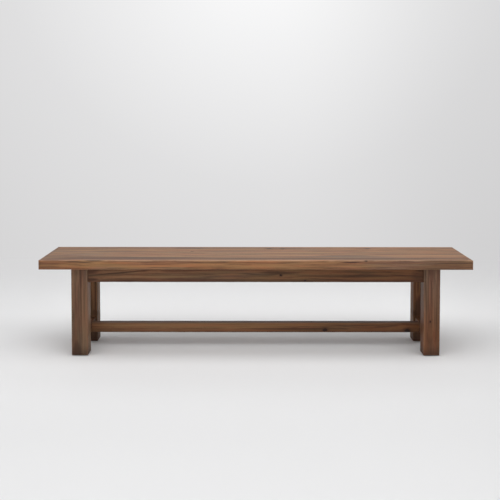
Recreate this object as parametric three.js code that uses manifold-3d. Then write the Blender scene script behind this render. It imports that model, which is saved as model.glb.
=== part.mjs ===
// A long timber bench: a seat of edge-glued boards on a mortise-and-tenon frame with an H stretcher.
// Millimetres. X runs along the seat, Y from its front to its back, and Z up from the floor.
import * as THREE from "three";
import { mergeVertices } from "three/addons/utils/BufferGeometryUtils.js";
import Module from "manifold-3d";

const wasm = await Module();
wasm.setup();

// Seat
const seatLength = 2000;
const seatDepth = 400;
const seatHeight = 456;
const seatThickness = 44;
const endOverhang = 142;
const sideOverhang = 38;
const seatTopRadius = 3;
const seatUnderRadius = 3;
const seatCornerRadius = 4;
const seatBoards = [
  { name: "front", widthShare: 0.18 },
  { name: "front_middle", widthShare: 0.27 },
  { name: "back_middle", widthShare: 0.26 },
  { name: "back", widthShare: 0.29 },
];

// Clearance between pieces that meet, and the overrun of a cut past the wood it crosses
const jointGap = 0.3;
const overrun = 4;

// Legs
const legSize = 76;
const legEdgeRadius = 2.5;
const footRadius = 2.5;

// Glides nailed under the legs
const glideThickness = 3;
const glideRadius = 13;
const glideRim = 1;
const glideNailRadius = 1.3;
const glideNailLength = 14;
const glideNailPoint = 2;

// Aprons, their haunched tenons and the groove for the buttons
const apronHeight = 67;
const apronThickness = 24;
const apronSetback = 12;
const apronEdgeRadius = 3;
const apronTenonThickness = 12;
const apronTenonTopShoulder = 14;
const apronTenonFootShoulder = 8;
const haunchLength = 11;
const tenonRoot = 6;
const grooveDrop = 12;
const grooveHeight = 8;
const grooveDepth = 9;

// Stretchers
const stretcherLift = 75;
const stretcherHeight = 47;
const stretcherEdgeRadius = 3.5;
const endStretcherWidth = 57;
const endStretcherTenonThickness = 18;
const endStretcherTenonShoulder = 7;
const endStretcherTenonLength = 33;
const longStretcherWidth = 44;
const longStretcherTenonThickness = 16;
const longStretcherTenonShoulder = 8;
const longStretcherTenonLength = 30;

// Bearers across the underside of the seat
const bearerCount = 3;
const bearerWidth = 45;
const bearerHeight = 45;
const bearerEdgeRadius = 1.5;
const bearerStubLength = 8;
const bearerStubShoulder = 8;
const bearerStubHeight = 20;
const bearerScrewInset = 58;
const counterboreRadius = 6;
const counterboreDepth = 21;

// Buttons that hook into the aprons' grooves and hold the seat down
const buttonWidth = 36;
const buttonLength = 32;
const buttonHeight = 24;
const buttonEdgeRadius = 1.5;
const buttonPlay = 2;
const endButtonInset = 155;
const tongueLength = 7.5;
const tongueRoot = 5;

// Countersunk wood screws with a cross recess
const screwLength = 48;
const screwHeadRadius = 4.2;
const screwHeadHeight = 2.8;
const screwHeadRim = 0.5;
const screwShankRadius = 2.2;
const screwTipLength = 6;
const recessLength = 4.4;
const recessWidth = 1.1;
const recessDepth = 1.6;

// Smoothness of arcs
const arcSteps = 2;
const screwSides = 12;
const glideSides = 24;

// Levels and places that follow from the sizes
const seatUnderside = seatHeight - seatThickness;
const frameTop = seatUnderside - jointGap;
const legOuterX = seatLength / 2 - endOverhang;
const legOuterY = seatDepth / 2 - sideOverhang;
const legX = legOuterX - legSize / 2;
const legY = legOuterY - legSize / 2;
const shoulderX = legOuterX - legSize - jointGap;
const shoulderY = legOuterY - legSize - jointGap;
const apronX = legOuterX - apronSetback - apronThickness / 2;
const apronY = legOuterY - apronSetback - apronThickness / 2;
const apronInnerX = apronX - apronThickness / 2;
const apronInnerY = apronY - apronThickness / 2;
const apronBottom = frameTop - apronHeight;
const apronTenonBottom = apronBottom + apronTenonFootShoulder;
const apronTenonTop = frameTop - apronTenonTopShoulder;
const grooveTop = frameTop - grooveDrop;
const grooveBottom = grooveTop - grooveHeight;
const stretcherTop = stretcherLift + stretcherHeight;
const stretcherZ = stretcherLift + stretcherHeight / 2;
const longStretcherShoulder = legX - endStretcherWidth / 2 - jointGap;
const bearerBottom = frameTop - bearerHeight;
const bearerEnd = apronInnerY - jointGap;
const outermostButtonX = shoulderX - endButtonInset;

const finishes = {
  seat: { color: 0x8c6a52, roughness: 0.62, metalness: 0 },
  frame: { color: 0x6f5140, roughness: 0.66, metalness: 0 },
  hidden: { color: 0x9a7d60, roughness: 0.75, metalness: 0 },
  steel: { color: 0xb9b4a6, roughness: 0.35, metalness: 1 },
  nylon: { color: 0x2e2a27, roughness: 0.5, metalness: 0 },
};

const ends = [
  { name: "left", sign: -1 },
  { name: "right", sign: 1 },
];
const sides = [
  { name: "front", sign: -1 },
  { name: "back", sign: 1 },
];

// Turns that lay a drawing's X, Y and Z along the bench: alongX extrudes along the bench's X, and so on
const alongX = new THREE.Matrix4().makeBasis(
  new THREE.Vector3(0, 1, 0),
  new THREE.Vector3(0, 0, 1),
  new THREE.Vector3(1, 0, 0),
);
const alongY = new THREE.Matrix4().makeBasis(
  new THREE.Vector3(1, 0, 0),
  new THREE.Vector3(0, 0, 1),
  new THREE.Vector3(0, -1, 0),
);
const alongZ = new THREE.Matrix4();

const at = (x, y, z) => new THREE.Vector3(x, y, z);

function solidOf(geometry) {
  const bare = geometry.index ? geometry.toNonIndexed() : geometry.clone();
  bare.deleteAttribute("normal");
  bare.deleteAttribute("uv");
  const merged = mergeVertices(bare);
  const mesh = new wasm.Mesh({
    numProp: 3,
    vertProperties: merged.attributes.position.array,
    triVerts: new Uint32Array(merged.index.array),
  });
  return new wasm.Manifold(mesh);
}

function geometryOf(solid) {
  const mesh = solid.getMesh();
  const indexed = new THREE.BufferGeometry();
  indexed.setAttribute("position", new THREE.BufferAttribute(mesh.vertProperties, 3));
  indexed.setIndex(new THREE.BufferAttribute(mesh.triVerts, 1));
  const faceted = indexed.toNonIndexed();
  faceted.computeVertexNormals();
  return faceted;
}

// A block between two opposite corners, larger all round by grow.
function block(from, to, grow = 0) {
  const bounds = new THREE.Box3().setFromPoints([from, to]).expandByScalar(grow);
  const size = bounds.getSize(new THREE.Vector3());
  const centre = bounds.getCenter(new THREE.Vector3());
  const geometry = new THREE.BoxGeometry(size.x, size.y, size.z);
  geometry.translate(centre.x, centre.y, centre.z);
  return solidOf(geometry);
}

// A rectangle about the origin, with one radius for each corner, counterclockwise from the lower left.
function roundedOutline(width, height, radii) {
  const corners = [
    { x: -width / 2, y: -height / 2, inX: 1, inY: 1 },
    { x: width / 2, y: -height / 2, inX: -1, inY: 1 },
    { x: width / 2, y: height / 2, inX: -1, inY: -1 },
    { x: -width / 2, y: height / 2, inX: 1, inY: -1 },
  ];
  const points = corners.flatMap((corner, i) => {
    const radius = radii[i];
    if (radius === 0) return [new THREE.Vector2(corner.x, corner.y)];
    const arc = new THREE.Path();
    const start = Math.PI + (i * Math.PI) / 2;
    const centreX = corner.x + corner.inX * radius;
    const centreY = corner.y + corner.inY * radius;
    arc.absarc(centreX, centreY, radius, start, start + Math.PI / 2, false);
    return arc.getPoints(arcSteps);
  });
  return new THREE.Shape(points);
}

function everyEdge(radius) {
  return [radius, radius, radius, radius];
}

function extrusion(outline, length, turn) {
  const geometry = new THREE.ExtrudeGeometry(outline, { depth: length, bevelEnabled: false });
  geometry.translate(0, 0, -length / 2);
  geometry.applyMatrix4(turn);
  return solidOf(geometry);
}

// A rail of one section with its ends cut square, centred on a point.
function rail(outline, length, turn, centre) {
  return extrusion(outline, length, turn).translate([centre.x, centre.y, centre.z]);
}

// A bar with its arrises eased: the outlines seen along X, Y and Z, each extruded through the other two.
function easedBar(size, radii, centre) {
  const seenAlongX = extrusion(roundedOutline(size.y, size.z, radii.x), size.x + overrun, alongX);
  const seenAlongY = extrusion(roundedOutline(size.x, size.z, radii.y), size.y + overrun, alongY);
  const seenAlongZ = extrusion(roundedOutline(size.x, size.y, radii.z), size.z + overrun, alongZ);
  const bar = seenAlongX.intersect(seenAlongY).intersect(seenAlongZ);
  return bar.translate([centre.x, centre.y, centre.z]);
}

// A turned solid on an upright axis through a place, from a profile of [radius, height] pairs.
function turned(profile, segments, place) {
  const points = profile.map(([radius, height]) => new THREE.Vector2(radius, height));
  const geometry = new THREE.LatheGeometry(points, segments);
  geometry.rotateX(Math.PI / 2);
  geometry.translate(place.x, place.y, place.z);
  return solidOf(geometry);
}

function joined(solid, additions) {
  return additions.reduce((whole, addition) => whole.add(addition), solid);
}

function cutBy(solid, cutters) {
  return cutters.reduce((left, cutter) => left.subtract(cutter), solid);
}

// Every tenon is a function of its end and side of the bench and of how far it is grown all round:
// grown by nothing it is joined to its rail, and grown by the clearance it cuts its mortise.
function longApronTenon(end, side, grow) {
  const low = side * (apronY - apronTenonThickness / 2);
  const high = side * (apronY + apronTenonThickness / 2);
  const root = end * (shoulderX - tenonRoot);
  const tip = end * (apronX + apronTenonThickness / 2);
  const haunchTip = end * (shoulderX + haunchLength);
  const tenon = block(at(root, low, apronTenonBottom), at(tip, high, apronTenonTop), grow);
  const haunch = block(at(root, low, apronTenonTop - tenonRoot), at(haunchTip, high, frameTop), grow);
  return tenon.add(haunch);
}

function endApronTenon(end, side, grow) {
  const low = end * (apronX - apronTenonThickness / 2);
  const high = end * (apronX + apronTenonThickness / 2);
  const root = side * (shoulderY - tenonRoot);
  const tip = side * (apronY + apronTenonThickness / 2);
  const haunchTip = side * (shoulderY + haunchLength);
  const tenon = block(at(low, root, apronTenonBottom), at(high, tip, apronTenonTop), grow);
  const haunch = block(at(low, root, apronTenonTop - tenonRoot), at(high, haunchTip, frameTop), grow);
  return tenon.add(haunch);
}

// Inside each leg the tenons of its two aprons meet on a mitre. This is what the mitre takes away:
// a block turned to the diagonal, beyond the long apron's side of it or the end apron's.
function mitreWaste(end, side, fromLongApron) {
  const reach = legSize;
  const away = (fromLongApron ? 1 : -1) * Math.SQRT1_2 * (reach / 2 - jointGap / 2);
  const geometry = new THREE.BoxGeometry(reach, reach, seatHeight);
  geometry.rotateZ(Math.PI / 4);
  geometry.translate(end * (apronX + away), side * (apronY - away), seatHeight / 2);
  return solidOf(geometry);
}

function endStretcherTenon(end, side, grow) {
  const half = endStretcherTenonThickness / 2;
  const from = at(
    end * (legX - half),
    side * (shoulderY - tenonRoot),
    stretcherLift + endStretcherTenonShoulder,
  );
  const to = at(
    end * (legX + half),
    side * (shoulderY + endStretcherTenonLength),
    stretcherTop - endStretcherTenonShoulder,
  );
  return block(from, to, grow);
}

function longStretcherTenon(end, grow) {
  const half = longStretcherWidth / 2 - longStretcherTenonShoulder;
  const from = at(
    end * (longStretcherShoulder - tenonRoot),
    -half,
    stretcherZ - longStretcherTenonThickness / 2,
  );
  const to = at(
    end * (longStretcherShoulder + longStretcherTenonLength),
    half,
    stretcherZ + longStretcherTenonThickness / 2,
  );
  return block(from, to, grow);
}

function bearerStub(x, side, grow) {
  const half = bearerWidth / 2 - bearerStubShoulder;
  const from = at(x - half, side * (bearerEnd - tenonRoot), bearerBottom);
  const to = at(x + half, side * (bearerEnd + bearerStubLength), bearerBottom + bearerStubHeight);
  return block(from, to, grow);
}

// Screws point up and stand on their heads, each at a place at the middle of its head.
function screwProfile(grow) {
  return [
    [0, -grow],
    [screwHeadRadius + grow, -grow],
    [screwHeadRadius + grow, screwHeadRim],
    [screwShankRadius + grow, screwHeadHeight + grow],
    [screwShankRadius + grow, screwLength - screwTipLength + grow],
    [0, screwLength + grow],
  ];
}

function screwHole(place) {
  return turned(screwProfile(jointGap), screwSides, place);
}

function screwSolid(place) {
  const long = recessLength / 2;
  const wide = recessWidth / 2;
  const recess = [
    block(at(-long, -wide, -overrun), at(long, wide, recessDepth)),
    block(at(-wide, -long, -overrun), at(wide, long, recessDepth)),
  ].map((arm) => arm.translate([place.x, place.y, place.z]));
  return cutBy(turned(screwProfile(0), screwSides, place), recess);
}

function glideSolid(place) {
  const discTop = glideThickness - jointGap;
  const profile = [
    [0, 0],
    [glideRadius - glideRim, 0],
    [glideRadius, glideRim],
    [glideRadius, discTop],
    [glideNailRadius, discTop],
    [glideNailRadius, discTop + glideNailLength - glideNailPoint],
    [0, discTop + glideNailLength],
  ];
  return turned(profile, glideSides, place);
}

function glideNailHole(place) {
  const profile = [
    [0, 0],
    [glideNailRadius + jointGap, 0],
    [glideNailRadius + jointGap, glideThickness + glideNailLength - glideNailPoint],
    [0, glideThickness + glideNailLength],
  ];
  return turned(profile, glideSides, place);
}

// Places that repeat, spread evenly about the middle.
function spread(count, spacing) {
  return Array.from({ length: count }, (_, i) => (i - (count - 1) / 2) * spacing);
}

// The bearers stand halfway between the buttons, so there is one button more than there are bearers.
const fixingSpacing = (2 * outermostButtonX) / bearerCount;
const bearerXs = spread(bearerCount, fixingSpacing);
const buttonXs = spread(bearerCount + 1, fixingSpacing);

const bearerScrews = bearerXs.flatMap((x) =>
  sides.map((side) => at(x, side.sign * (bearerEnd - bearerScrewInset), bearerBottom + counterboreDepth)),
);

// Each button starts from a point on an apron's inner face and reaches in from it.
const buttons = [
  ...sides.flatMap((side) =>
    buttonXs.map((x) => ({ x, y: side.sign * apronInnerY, inX: 0, inY: -side.sign })),
  ),
  ...ends.map((end) => ({ x: end.sign * apronInnerX, y: 0, inX: -end.sign, inY: 0 })),
];

function fromButtonFace(button, inwards, across, z) {
  const x = button.x + button.inX * inwards - button.inY * across;
  const y = button.y + button.inY * inwards + button.inX * across;
  return at(x, y, z);
}

const buttonScrews = buttons.map((button) =>
  fromButtonFace(button, buttonPlay + buttonLength / 2, 0, frameTop - buttonHeight),
);

const bench = new THREE.Group();
const seat = new THREE.Group();
const frame = new THREE.Group();
const fixings = new THREE.Group();
bench.add(seat, frame, fixings);

// A solid modelled where it stands becomes a mesh about its own anchor, placed at that anchor.
function addPiece(group, name, solid, anchor, finish) {
  const geometry = geometryOf(solid);
  geometry.translate(-anchor.x, -anchor.y, -anchor.z);
  const mesh = new THREE.Mesh(geometry, new THREE.MeshStandardMaterial(finish));
  mesh.name = name;
  mesh.position.copy(anchor);
  group.add(mesh);
}

function addSeatBoards() {
  const holes = [...buttonScrews, ...bearerScrews].map(screwHole);
  const totalShare = seatBoards.reduce((sum, board) => sum + board.widthShare, 0);
  let edge = -seatDepth / 2;
  seatBoards.forEach((board, i) => {
    const isFront = i === 0;
    const isBack = i === seatBoards.length - 1;
    const nextEdge = edge + (seatDepth * board.widthShare) / totalShare;
    const low = isFront ? edge : edge + jointGap / 2;
    const high = isBack ? nextEdge : nextEdge - jointGap / 2;
    const centre = at(0, (low + high) / 2, seatUnderside + seatThickness / 2);
    const onFront = (radius) => (isFront ? radius : 0);
    const onBack = (radius) => (isBack ? radius : 0);
    const radii = {
      x: [onFront(seatUnderRadius), onBack(seatUnderRadius), onBack(seatTopRadius), onFront(seatTopRadius)],
      y: [seatUnderRadius, seatUnderRadius, seatTopRadius, seatTopRadius],
      z: [
        onFront(seatCornerRadius),
        onFront(seatCornerRadius),
        onBack(seatCornerRadius),
        onBack(seatCornerRadius),
      ],
    };
    const bar = easedBar(at(seatLength, high - low, seatThickness), radii, centre);
    addPiece(seat, `seat_board_${board.name}`, cutBy(bar, holes), centre, finishes.seat);
    edge = nextEdge;
  });
}

function addLeg(end, side) {
  const height = frameTop - glideThickness;
  const centre = at(end.sign * legX, side.sign * legY, glideThickness + height / 2);
  const foot = at(centre.x, centre.y, 0);
  const radii = {
    x: [footRadius, footRadius, 0, 0],
    y: [footRadius, footRadius, 0, 0],
    z: everyEdge(legEdgeRadius),
  };
  const leg = cutBy(easedBar(at(legSize, legSize, height), radii, centre), [
    longApronTenon(end.sign, side.sign, jointGap),
    endApronTenon(end.sign, side.sign, jointGap),
    endStretcherTenon(end.sign, side.sign, jointGap),
    glideNailHole(foot),
  ]);
  addPiece(frame, `leg_${side.name}_${end.name}`, leg, centre, finishes.frame);
  addPiece(fixings, `glide_${side.name}_${end.name}`, glideSolid(foot), foot, finishes.nylon);
}

const apronOutline = roundedOutline(apronThickness, apronHeight, [apronEdgeRadius, apronEdgeRadius, 0, 0]);

function addLongApron(side) {
  const centre = at(0, side.sign * apronY, apronBottom + apronHeight / 2);
  const grooveEnd = shoulderX - tenonRoot;
  const groove = block(
    at(-grooveEnd, side.sign * (apronInnerY - overrun), grooveBottom),
    at(grooveEnd, side.sign * (apronInnerY + grooveDepth), grooveTop),
  );
  const tenons = ends.map((end) =>
    longApronTenon(end.sign, side.sign, 0).subtract(mitreWaste(end.sign, side.sign, true)),
  );
  const apron = cutBy(joined(rail(apronOutline, 2 * shoulderX, alongX, centre), tenons), [
    groove,
    ...bearerXs.map((x) => bearerStub(x, side.sign, jointGap)),
  ]);
  addPiece(frame, `apron_${side.name}`, apron, centre, finishes.frame);
}

function addEndApron(end) {
  const centre = at(end.sign * apronX, 0, apronBottom + apronHeight / 2);
  const grooveEnd = shoulderY - tenonRoot;
  const groove = block(
    at(end.sign * (apronInnerX - overrun), -grooveEnd, grooveBottom),
    at(end.sign * (apronInnerX + grooveDepth), grooveEnd, grooveTop),
  );
  const tenons = sides.map((side) =>
    endApronTenon(end.sign, side.sign, 0).subtract(mitreWaste(end.sign, side.sign, false)),
  );
  const apron = joined(rail(apronOutline, 2 * shoulderY, alongY, centre), tenons).subtract(groove);
  addPiece(frame, `apron_${end.name}`, apron, centre, finishes.frame);
}

function addEndStretcher(end) {
  const centre = at(end.sign * legX, 0, stretcherZ);
  const outline = roundedOutline(endStretcherWidth, stretcherHeight, everyEdge(stretcherEdgeRadius));
  const tenons = sides.map((side) => endStretcherTenon(end.sign, side.sign, 0));
  const stretcher = joined(rail(outline, 2 * shoulderY, alongY, centre), tenons);
  const mortised = stretcher.subtract(longStretcherTenon(end.sign, jointGap));
  addPiece(frame, `end_stretcher_${end.name}`, mortised, centre, finishes.frame);
}

function addLongStretcher() {
  const centre = at(0, 0, stretcherZ);
  const outline = roundedOutline(longStretcherWidth, stretcherHeight, everyEdge(stretcherEdgeRadius));
  const tenons = ends.map((end) => longStretcherTenon(end.sign, 0));
  const stretcher = joined(rail(outline, 2 * longStretcherShoulder, alongX, centre), tenons);
  addPiece(frame, "long_stretcher", stretcher, centre, finishes.frame);
}

function addBearer(x, i) {
  const centre = at(x, 0, bearerBottom + bearerHeight / 2);
  const outline = roundedOutline(bearerWidth, bearerHeight, [bearerEdgeRadius, bearerEdgeRadius, 0, 0]);
  const stubs = sides.map((side) => bearerStub(x, side.sign, 0));
  const bore = [
    [0, -counterboreDepth - overrun],
    [counterboreRadius, -counterboreDepth - overrun],
    [counterboreRadius, 0],
    [0, 0],
  ];
  const places = bearerScrews.filter((place) => place.x === x);
  const bearer = cutBy(joined(rail(outline, 2 * bearerEnd, alongY, centre), stubs), [
    ...places.map((place) => turned(bore, screwSides, place)),
    ...places.map(screwHole),
  ]);
  addPiece(frame, `seat_bearer_${i + 1}`, bearer, centre, finishes.hidden);
}

// A button's tongue hooks into the groove while its screw pulls the seat down on the frame.
function addButton(button, i) {
  const far = buttonPlay + buttonLength;
  const centre = fromButtonFace(button, (buttonPlay + far) / 2, 0, frameTop - buttonHeight / 2);
  const size = at(buttonWidth, buttonLength, buttonHeight);
  if (button.inX !== 0) size.set(buttonLength, buttonWidth, buttonHeight);
  const radii = {
    x: [buttonEdgeRadius, buttonEdgeRadius, 0, 0],
    y: [buttonEdgeRadius, buttonEdgeRadius, 0, 0],
    z: everyEdge(buttonEdgeRadius),
  };
  const tongueHalf = buttonWidth / 2 - buttonEdgeRadius;
  const tongue = block(
    fromButtonFace(button, -tongueLength, -tongueHalf, grooveBottom + jointGap),
    fromButtonFace(button, buttonPlay + tongueRoot, tongueHalf, grooveTop - jointGap),
  );
  const solid = easedBar(size, radii, centre).add(tongue).subtract(screwHole(buttonScrews[i]));
  addPiece(fixings, `seat_button_${i + 1}`, solid, centre, finishes.hidden);
}

addSeatBoards();
sides.forEach((side) => ends.forEach((end) => addLeg(end, side)));
sides.forEach(addLongApron);
ends.forEach(addEndApron);
ends.forEach(addEndStretcher);
addLongStretcher();
bearerXs.forEach(addBearer);
buttons.forEach(addButton);
buttonScrews.forEach((place, i) => {
  addPiece(fixings, `button_screw_${i + 1}`, screwSolid(place), place, finishes.steel);
});
bearerScrews.forEach((place, i) => {
  addPiece(fixings, `bearer_screw_${i + 1}`, screwSolid(place), place, finishes.steel);
});

export default bench;
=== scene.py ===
"""Dresses the CAD solids of a long timber bench in planed, stained and oiled wood, in a pale studio.

Everything is in metres, in the frame of the packed model: X runs along the seat, Y from its front to its
back, Z up.
"""

import math
import random
from collections import namedtuple

import bmesh
import bpy
from mathutils import Euler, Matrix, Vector


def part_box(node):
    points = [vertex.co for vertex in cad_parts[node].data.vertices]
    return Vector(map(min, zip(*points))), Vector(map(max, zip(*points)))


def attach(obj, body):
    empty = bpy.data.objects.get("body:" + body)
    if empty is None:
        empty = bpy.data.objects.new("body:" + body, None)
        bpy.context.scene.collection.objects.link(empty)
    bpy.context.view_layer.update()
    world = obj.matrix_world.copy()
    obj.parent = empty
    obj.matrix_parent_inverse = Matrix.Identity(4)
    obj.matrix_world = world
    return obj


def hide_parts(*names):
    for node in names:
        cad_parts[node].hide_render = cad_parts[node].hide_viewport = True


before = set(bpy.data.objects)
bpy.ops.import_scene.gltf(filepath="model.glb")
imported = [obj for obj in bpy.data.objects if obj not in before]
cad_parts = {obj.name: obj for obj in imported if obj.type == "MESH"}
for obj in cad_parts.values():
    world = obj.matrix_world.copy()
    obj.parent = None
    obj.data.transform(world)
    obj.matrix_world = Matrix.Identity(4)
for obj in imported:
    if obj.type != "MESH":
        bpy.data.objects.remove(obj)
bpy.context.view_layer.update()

bl_info = {
    "name": "Timber bench",
    "version": (1, 0, 0),
    "blender": (4, 5, 0),
    "location": "3D View > Sidebar > Bench",
    "description": "Makes the boards, legs, rails and fixings of a long bench, and its studio",
    "category": "Object",
}

BODY = "root"
X, Y, Z = 0, 1, 2
ENDS = (-1, 1)

# How far a vertex may lie off a plane and still count as on it
ON_PLANE = 0.00002
# The least share of a face's normal along an axis for the face to look that way
FACING = 0.9
# How far a cutter runs past the wood it cuts
OVERRUN = 0.004
# The least share of an edge along an axis for the edge to run that way
ALONG = 0.99
# Only edges longer than this are cut lengthwise, in the long timbers and in the rails
LONG_EDGE = 0.3
RAIL_EDGE = 0.1
# Vertices this many radii from an edge are still on its arris, and cuts keep this many radii clear of it
ON_ARRIS = 1.1
OFF_ARRIS = 1.2
# Faces that meet at less than this angle are shaded as one surface
SMOOTH_ANGLE = math.radians(32)
# Sides of a round hole and of a screw well, and facets of the curve from floor to backdrop
HOLE_SIDES = 24
WELL_SIDES = 32
COVE_FACETS = 24
# How deep the waves and the wear of the hidden bearers are, as a share of those of the other timbers
BEARER_DEPTH = 0.7


def number(name, description, default, **settings):
    return bpy.props.FloatProperty(name=name, description=description, default=default, **settings)


def length(name, description, default):
    return number(name, description, default, min=0.0, precision=5, unit="LENGTH")


def colour(name, description, default):
    return bpy.props.FloatVectorProperty(
        name=name, description=description, default=default, min=0.0, max=1.0, subtype="COLOR"
    )


class BenchJoinery(bpy.types.PropertyGroup):
    """Sizes of the joints and arrises, the same as in the CAD source."""

    joint_gap: length("Joint gap", "Clearance between pieces that meet", 0.0003)
    seat_top_arris: length("Seat top arris", "Radius of the upper edge of the seat", 0.003)
    seat_under_arris: length("Seat lower arris", "Radius of the lower edge of the seat", 0.003)
    seat_corner: length("Seat corner", "Radius of the seat's upright corners", 0.004)
    glue_line: length("Glue line", "Bevel of the boards along a glue line", 0.0004)
    leg_arris: length("Leg arris", "Radius of the legs' long edges", 0.0025)
    foot_arris: length("Foot arris", "Radius of the edges at the foot of a leg", 0.0025)
    apron_arris: length("Apron arris", "Radius of the aprons' lower edges", 0.003)
    stretcher_arris: length("Stretcher arris", "Radius of the stretchers' long edges", 0.0035)
    hidden_arris: length("Hidden arris", "Radius of the edges of bearers and buttons", 0.0015)
    apron_tenon: length("Apron tenon thickness", "Thickness of the aprons' tenons", 0.012)
    tenon_top_shoulder: length("Tenon top shoulder", "Drop from an apron's top to its tenon", 0.014)
    tenon_foot_shoulder: length("Tenon foot shoulder", "Rise from an apron's foot to its tenon", 0.008)
    haunch: length("Haunch", "Length of the haunch above an apron's tenon", 0.011)
    groove_drop: length("Groove drop", "Drop from an apron's top to its groove", 0.012)
    groove_height: length("Groove height", "Height of the groove for the buttons", 0.008)
    groove_depth: length("Groove depth", "Depth of the groove for the buttons", 0.009)
    groove_stop: length("Groove stop", "Distance from a shoulder to the groove's end", 0.006)
    end_tenon: length("End stretcher tenon", "Thickness of the end stretchers' tenons", 0.018)
    end_tenon_shoulder: length("End tenon shoulder", "Shoulder above and below that tenon", 0.007)
    end_tenon_length: length("End tenon length", "Length of that tenon", 0.033)
    long_tenon: length("Long stretcher tenon", "Height of the long stretcher's tenons", 0.016)
    long_tenon_shoulder: length("Long tenon shoulder", "Shoulder at each side of that tenon", 0.008)
    long_tenon_length: length("Long tenon length", "Length of that tenon", 0.03)
    stub_length: length("Stub length", "Length of a bearer's stub tenon", 0.008)
    stub_shoulder: length("Stub shoulder", "Shoulder at each side of a bearer's stub", 0.008)
    stub_height: length("Stub height", "Height of a bearer's stub tenon", 0.02)
    button_play: length("Button play", "Gap between a button and its apron", 0.002)
    tongue_length: length("Tongue length", "How far a button's tongue enters the groove", 0.0075)
    counterbore_radius: length("Counterbore radius", "Radius of the bearers' screw wells", 0.006)
    screw_head: length("Screw head radius", "Radius of the screws' heads", 0.0042)
    screw_head_height: length("Screw head height", "Height of the screws' heads", 0.0028)
    screw_shank: length("Screw shank radius", "Radius of the screws' shanks", 0.0022)
    nail_radius: length("Nail radius", "Radius of the glides' nails", 0.0013)


class BenchSurface(bpy.types.PropertyGroup):
    """How true the timber is planed and how far its arrises are worn."""

    wave_depth: length("Plane wave depth", "Depth of the waves that a hand plane leaves", 0.0003)
    wave_spacing: length("Plane wave spacing", "Distance between those waves", 0.11)
    wear_depth: length("Arris wear depth", "How far the arrises are rubbed down at most", 0.0006)
    wear_spacing: length("Arris wear spacing", "Distance between the worn places", 0.045)
    cut_along: length("Cuts along", "Distance between the cuts along a piece", 0.016)
    cut_across: length("Cuts across", "Distance between the cuts across a piece", 0.013)
    arris_segments: bpy.props.IntProperty(
        name="Arris segments", description="Facets across a rounded arris", default=4, min=1
    )


class BenchFinish(bpy.types.PropertyGroup):
    """Colours of the wood and fixings."""

    seat_pale: colour("Seat pale wood", "Early wood of the seat boards", (0.38, 0.19, 0.085))
    seat_brown: colour("Seat brown wood", "Common tone of the seat boards", (0.26, 0.12, 0.055))
    seat_dark: colour("Seat dark wood", "Late wood and streaks of the seat boards", (0.07, 0.032, 0.018))
    seat_grey: colour("Seat grey wood", "Weathered tone in the seat boards", (0.23, 0.145, 0.1))
    # The rubbed colours are partly wear and partly a painted highlight on the arrises.
    seat_rubbed: colour("Seat rubbed wood", "Rubbed arrises of the seat boards", (0.44, 0.265, 0.165))
    frame_pale: colour("Frame pale wood", "Early wood of the frame", (0.175, 0.091, 0.05))
    frame_brown: colour("Frame brown wood", "Common tone of the frame", (0.115, 0.055, 0.03))
    frame_dark: colour("Frame dark wood", "Late wood and streaks of the frame", (0.034, 0.0135, 0.007))
    frame_grey: colour("Frame grey wood", "Weathered tone in the frame", (0.105, 0.069, 0.053))
    frame_rubbed: colour("Frame rubbed wood", "Rubbed arrises of the frame", (0.2, 0.125, 0.082))
    screw_zinc: colour("Screw zinc", "Yellow zinc plating of the screws", (0.62, 0.55, 0.36))
    screw_tarnish: colour("Screw tarnish", "Dull patches on the plating", (0.34, 0.29, 0.2))
    glide_nylon: colour("Glide nylon", "Dark brown nylon of the glides", (0.03, 0.024, 0.02))
    glide_scuff: colour("Glide scuff", "Rubbed places on the glides", (0.09, 0.08, 0.07))


class BenchStudio(bpy.types.PropertyGroup):
    """The floor, backdrop, lamps and camera."""

    camera_place: bpy.props.FloatVectorProperty(
        name="Camera place",
        description="Where the camera stands, from the fit to the photograph",
        default=(-0.0274, -3.9698, 1.1097),
        subtype="TRANSLATION",
        unit="LENGTH",
    )
    camera_pitch: number("Camera pitch", "How far the camera looks down", 0.0454, subtype="ANGLE")
    camera_roll: number("Camera roll", "How far the camera leans sideways", -0.0008, subtype="ANGLE")
    lens: number("Lens", "Focal length on a 36 mm sensor", 59.49, unit="CAMERA")
    shift: number("Vertical shift", "Shift of the lens that frames the bench", -0.189)
    backdrop_distance: length("Backdrop distance", "From the bench to the backdrop", 3.6)
    backdrop_height: length("Backdrop height", "Height of the backdrop", 5.0)
    backdrop_half_width: length("Backdrop half width", "Half the width of floor and backdrop", 8.0)
    floor_front: length("Floor front", "How far the floor runs in front of the bench", 9.0)
    cove_radius: length("Cove radius", "Radius of the curve from floor to backdrop", 1.1)
    softbox_height: length("Softbox height", "Height of the wide softbox above the floor", 4.5)
    softbox_forward: length("Softbox forward", "How far its middle stands in front of the seat", 2.4)
    softbox_length: length("Softbox length", "Length of the softbox, along the seat", 9.0)
    softbox_width: length("Softbox width", "Width of the softbox", 6.2)
    softbox_power: number("Softbox power", "Power of the softbox", 320.0, unit="POWER")
    room_low: number("Room light, low", "Strength of the light from the room's pale walls", 1.35)
    room_high: number("Room light, high", "Strength of the light from above the walls", 0.06)
    floor_tone: number("Floor tone", "Grey of the floor", 0.8, min=0.0, max=1.0)


# Making meshes


def configure(thing, settings):
    for field, value in settings.items():
        setattr(thing, field, value)


def towards(axis, distance=1.0):
    """A vector of this length along an axis."""
    vector = Vector((0.0, 0.0, 0.0))
    vector[axis] = distance
    return vector


def pick_up(piece):
    """Makes this piece the only selected one."""
    bpy.ops.object.select_all(action="DESELECT")
    piece.select_set(True)
    bpy.context.view_layer.objects.active = piece


def claim(name, **placing):
    """Names the newest object and its mesh, and puts its place, turn and scale into the mesh."""
    piece = bpy.context.active_object
    piece.name = piece.data.name = name
    configure(piece, placing)
    bpy.ops.object.transform_apply(location=True, rotation=True, scale=True)
    return piece


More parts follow.
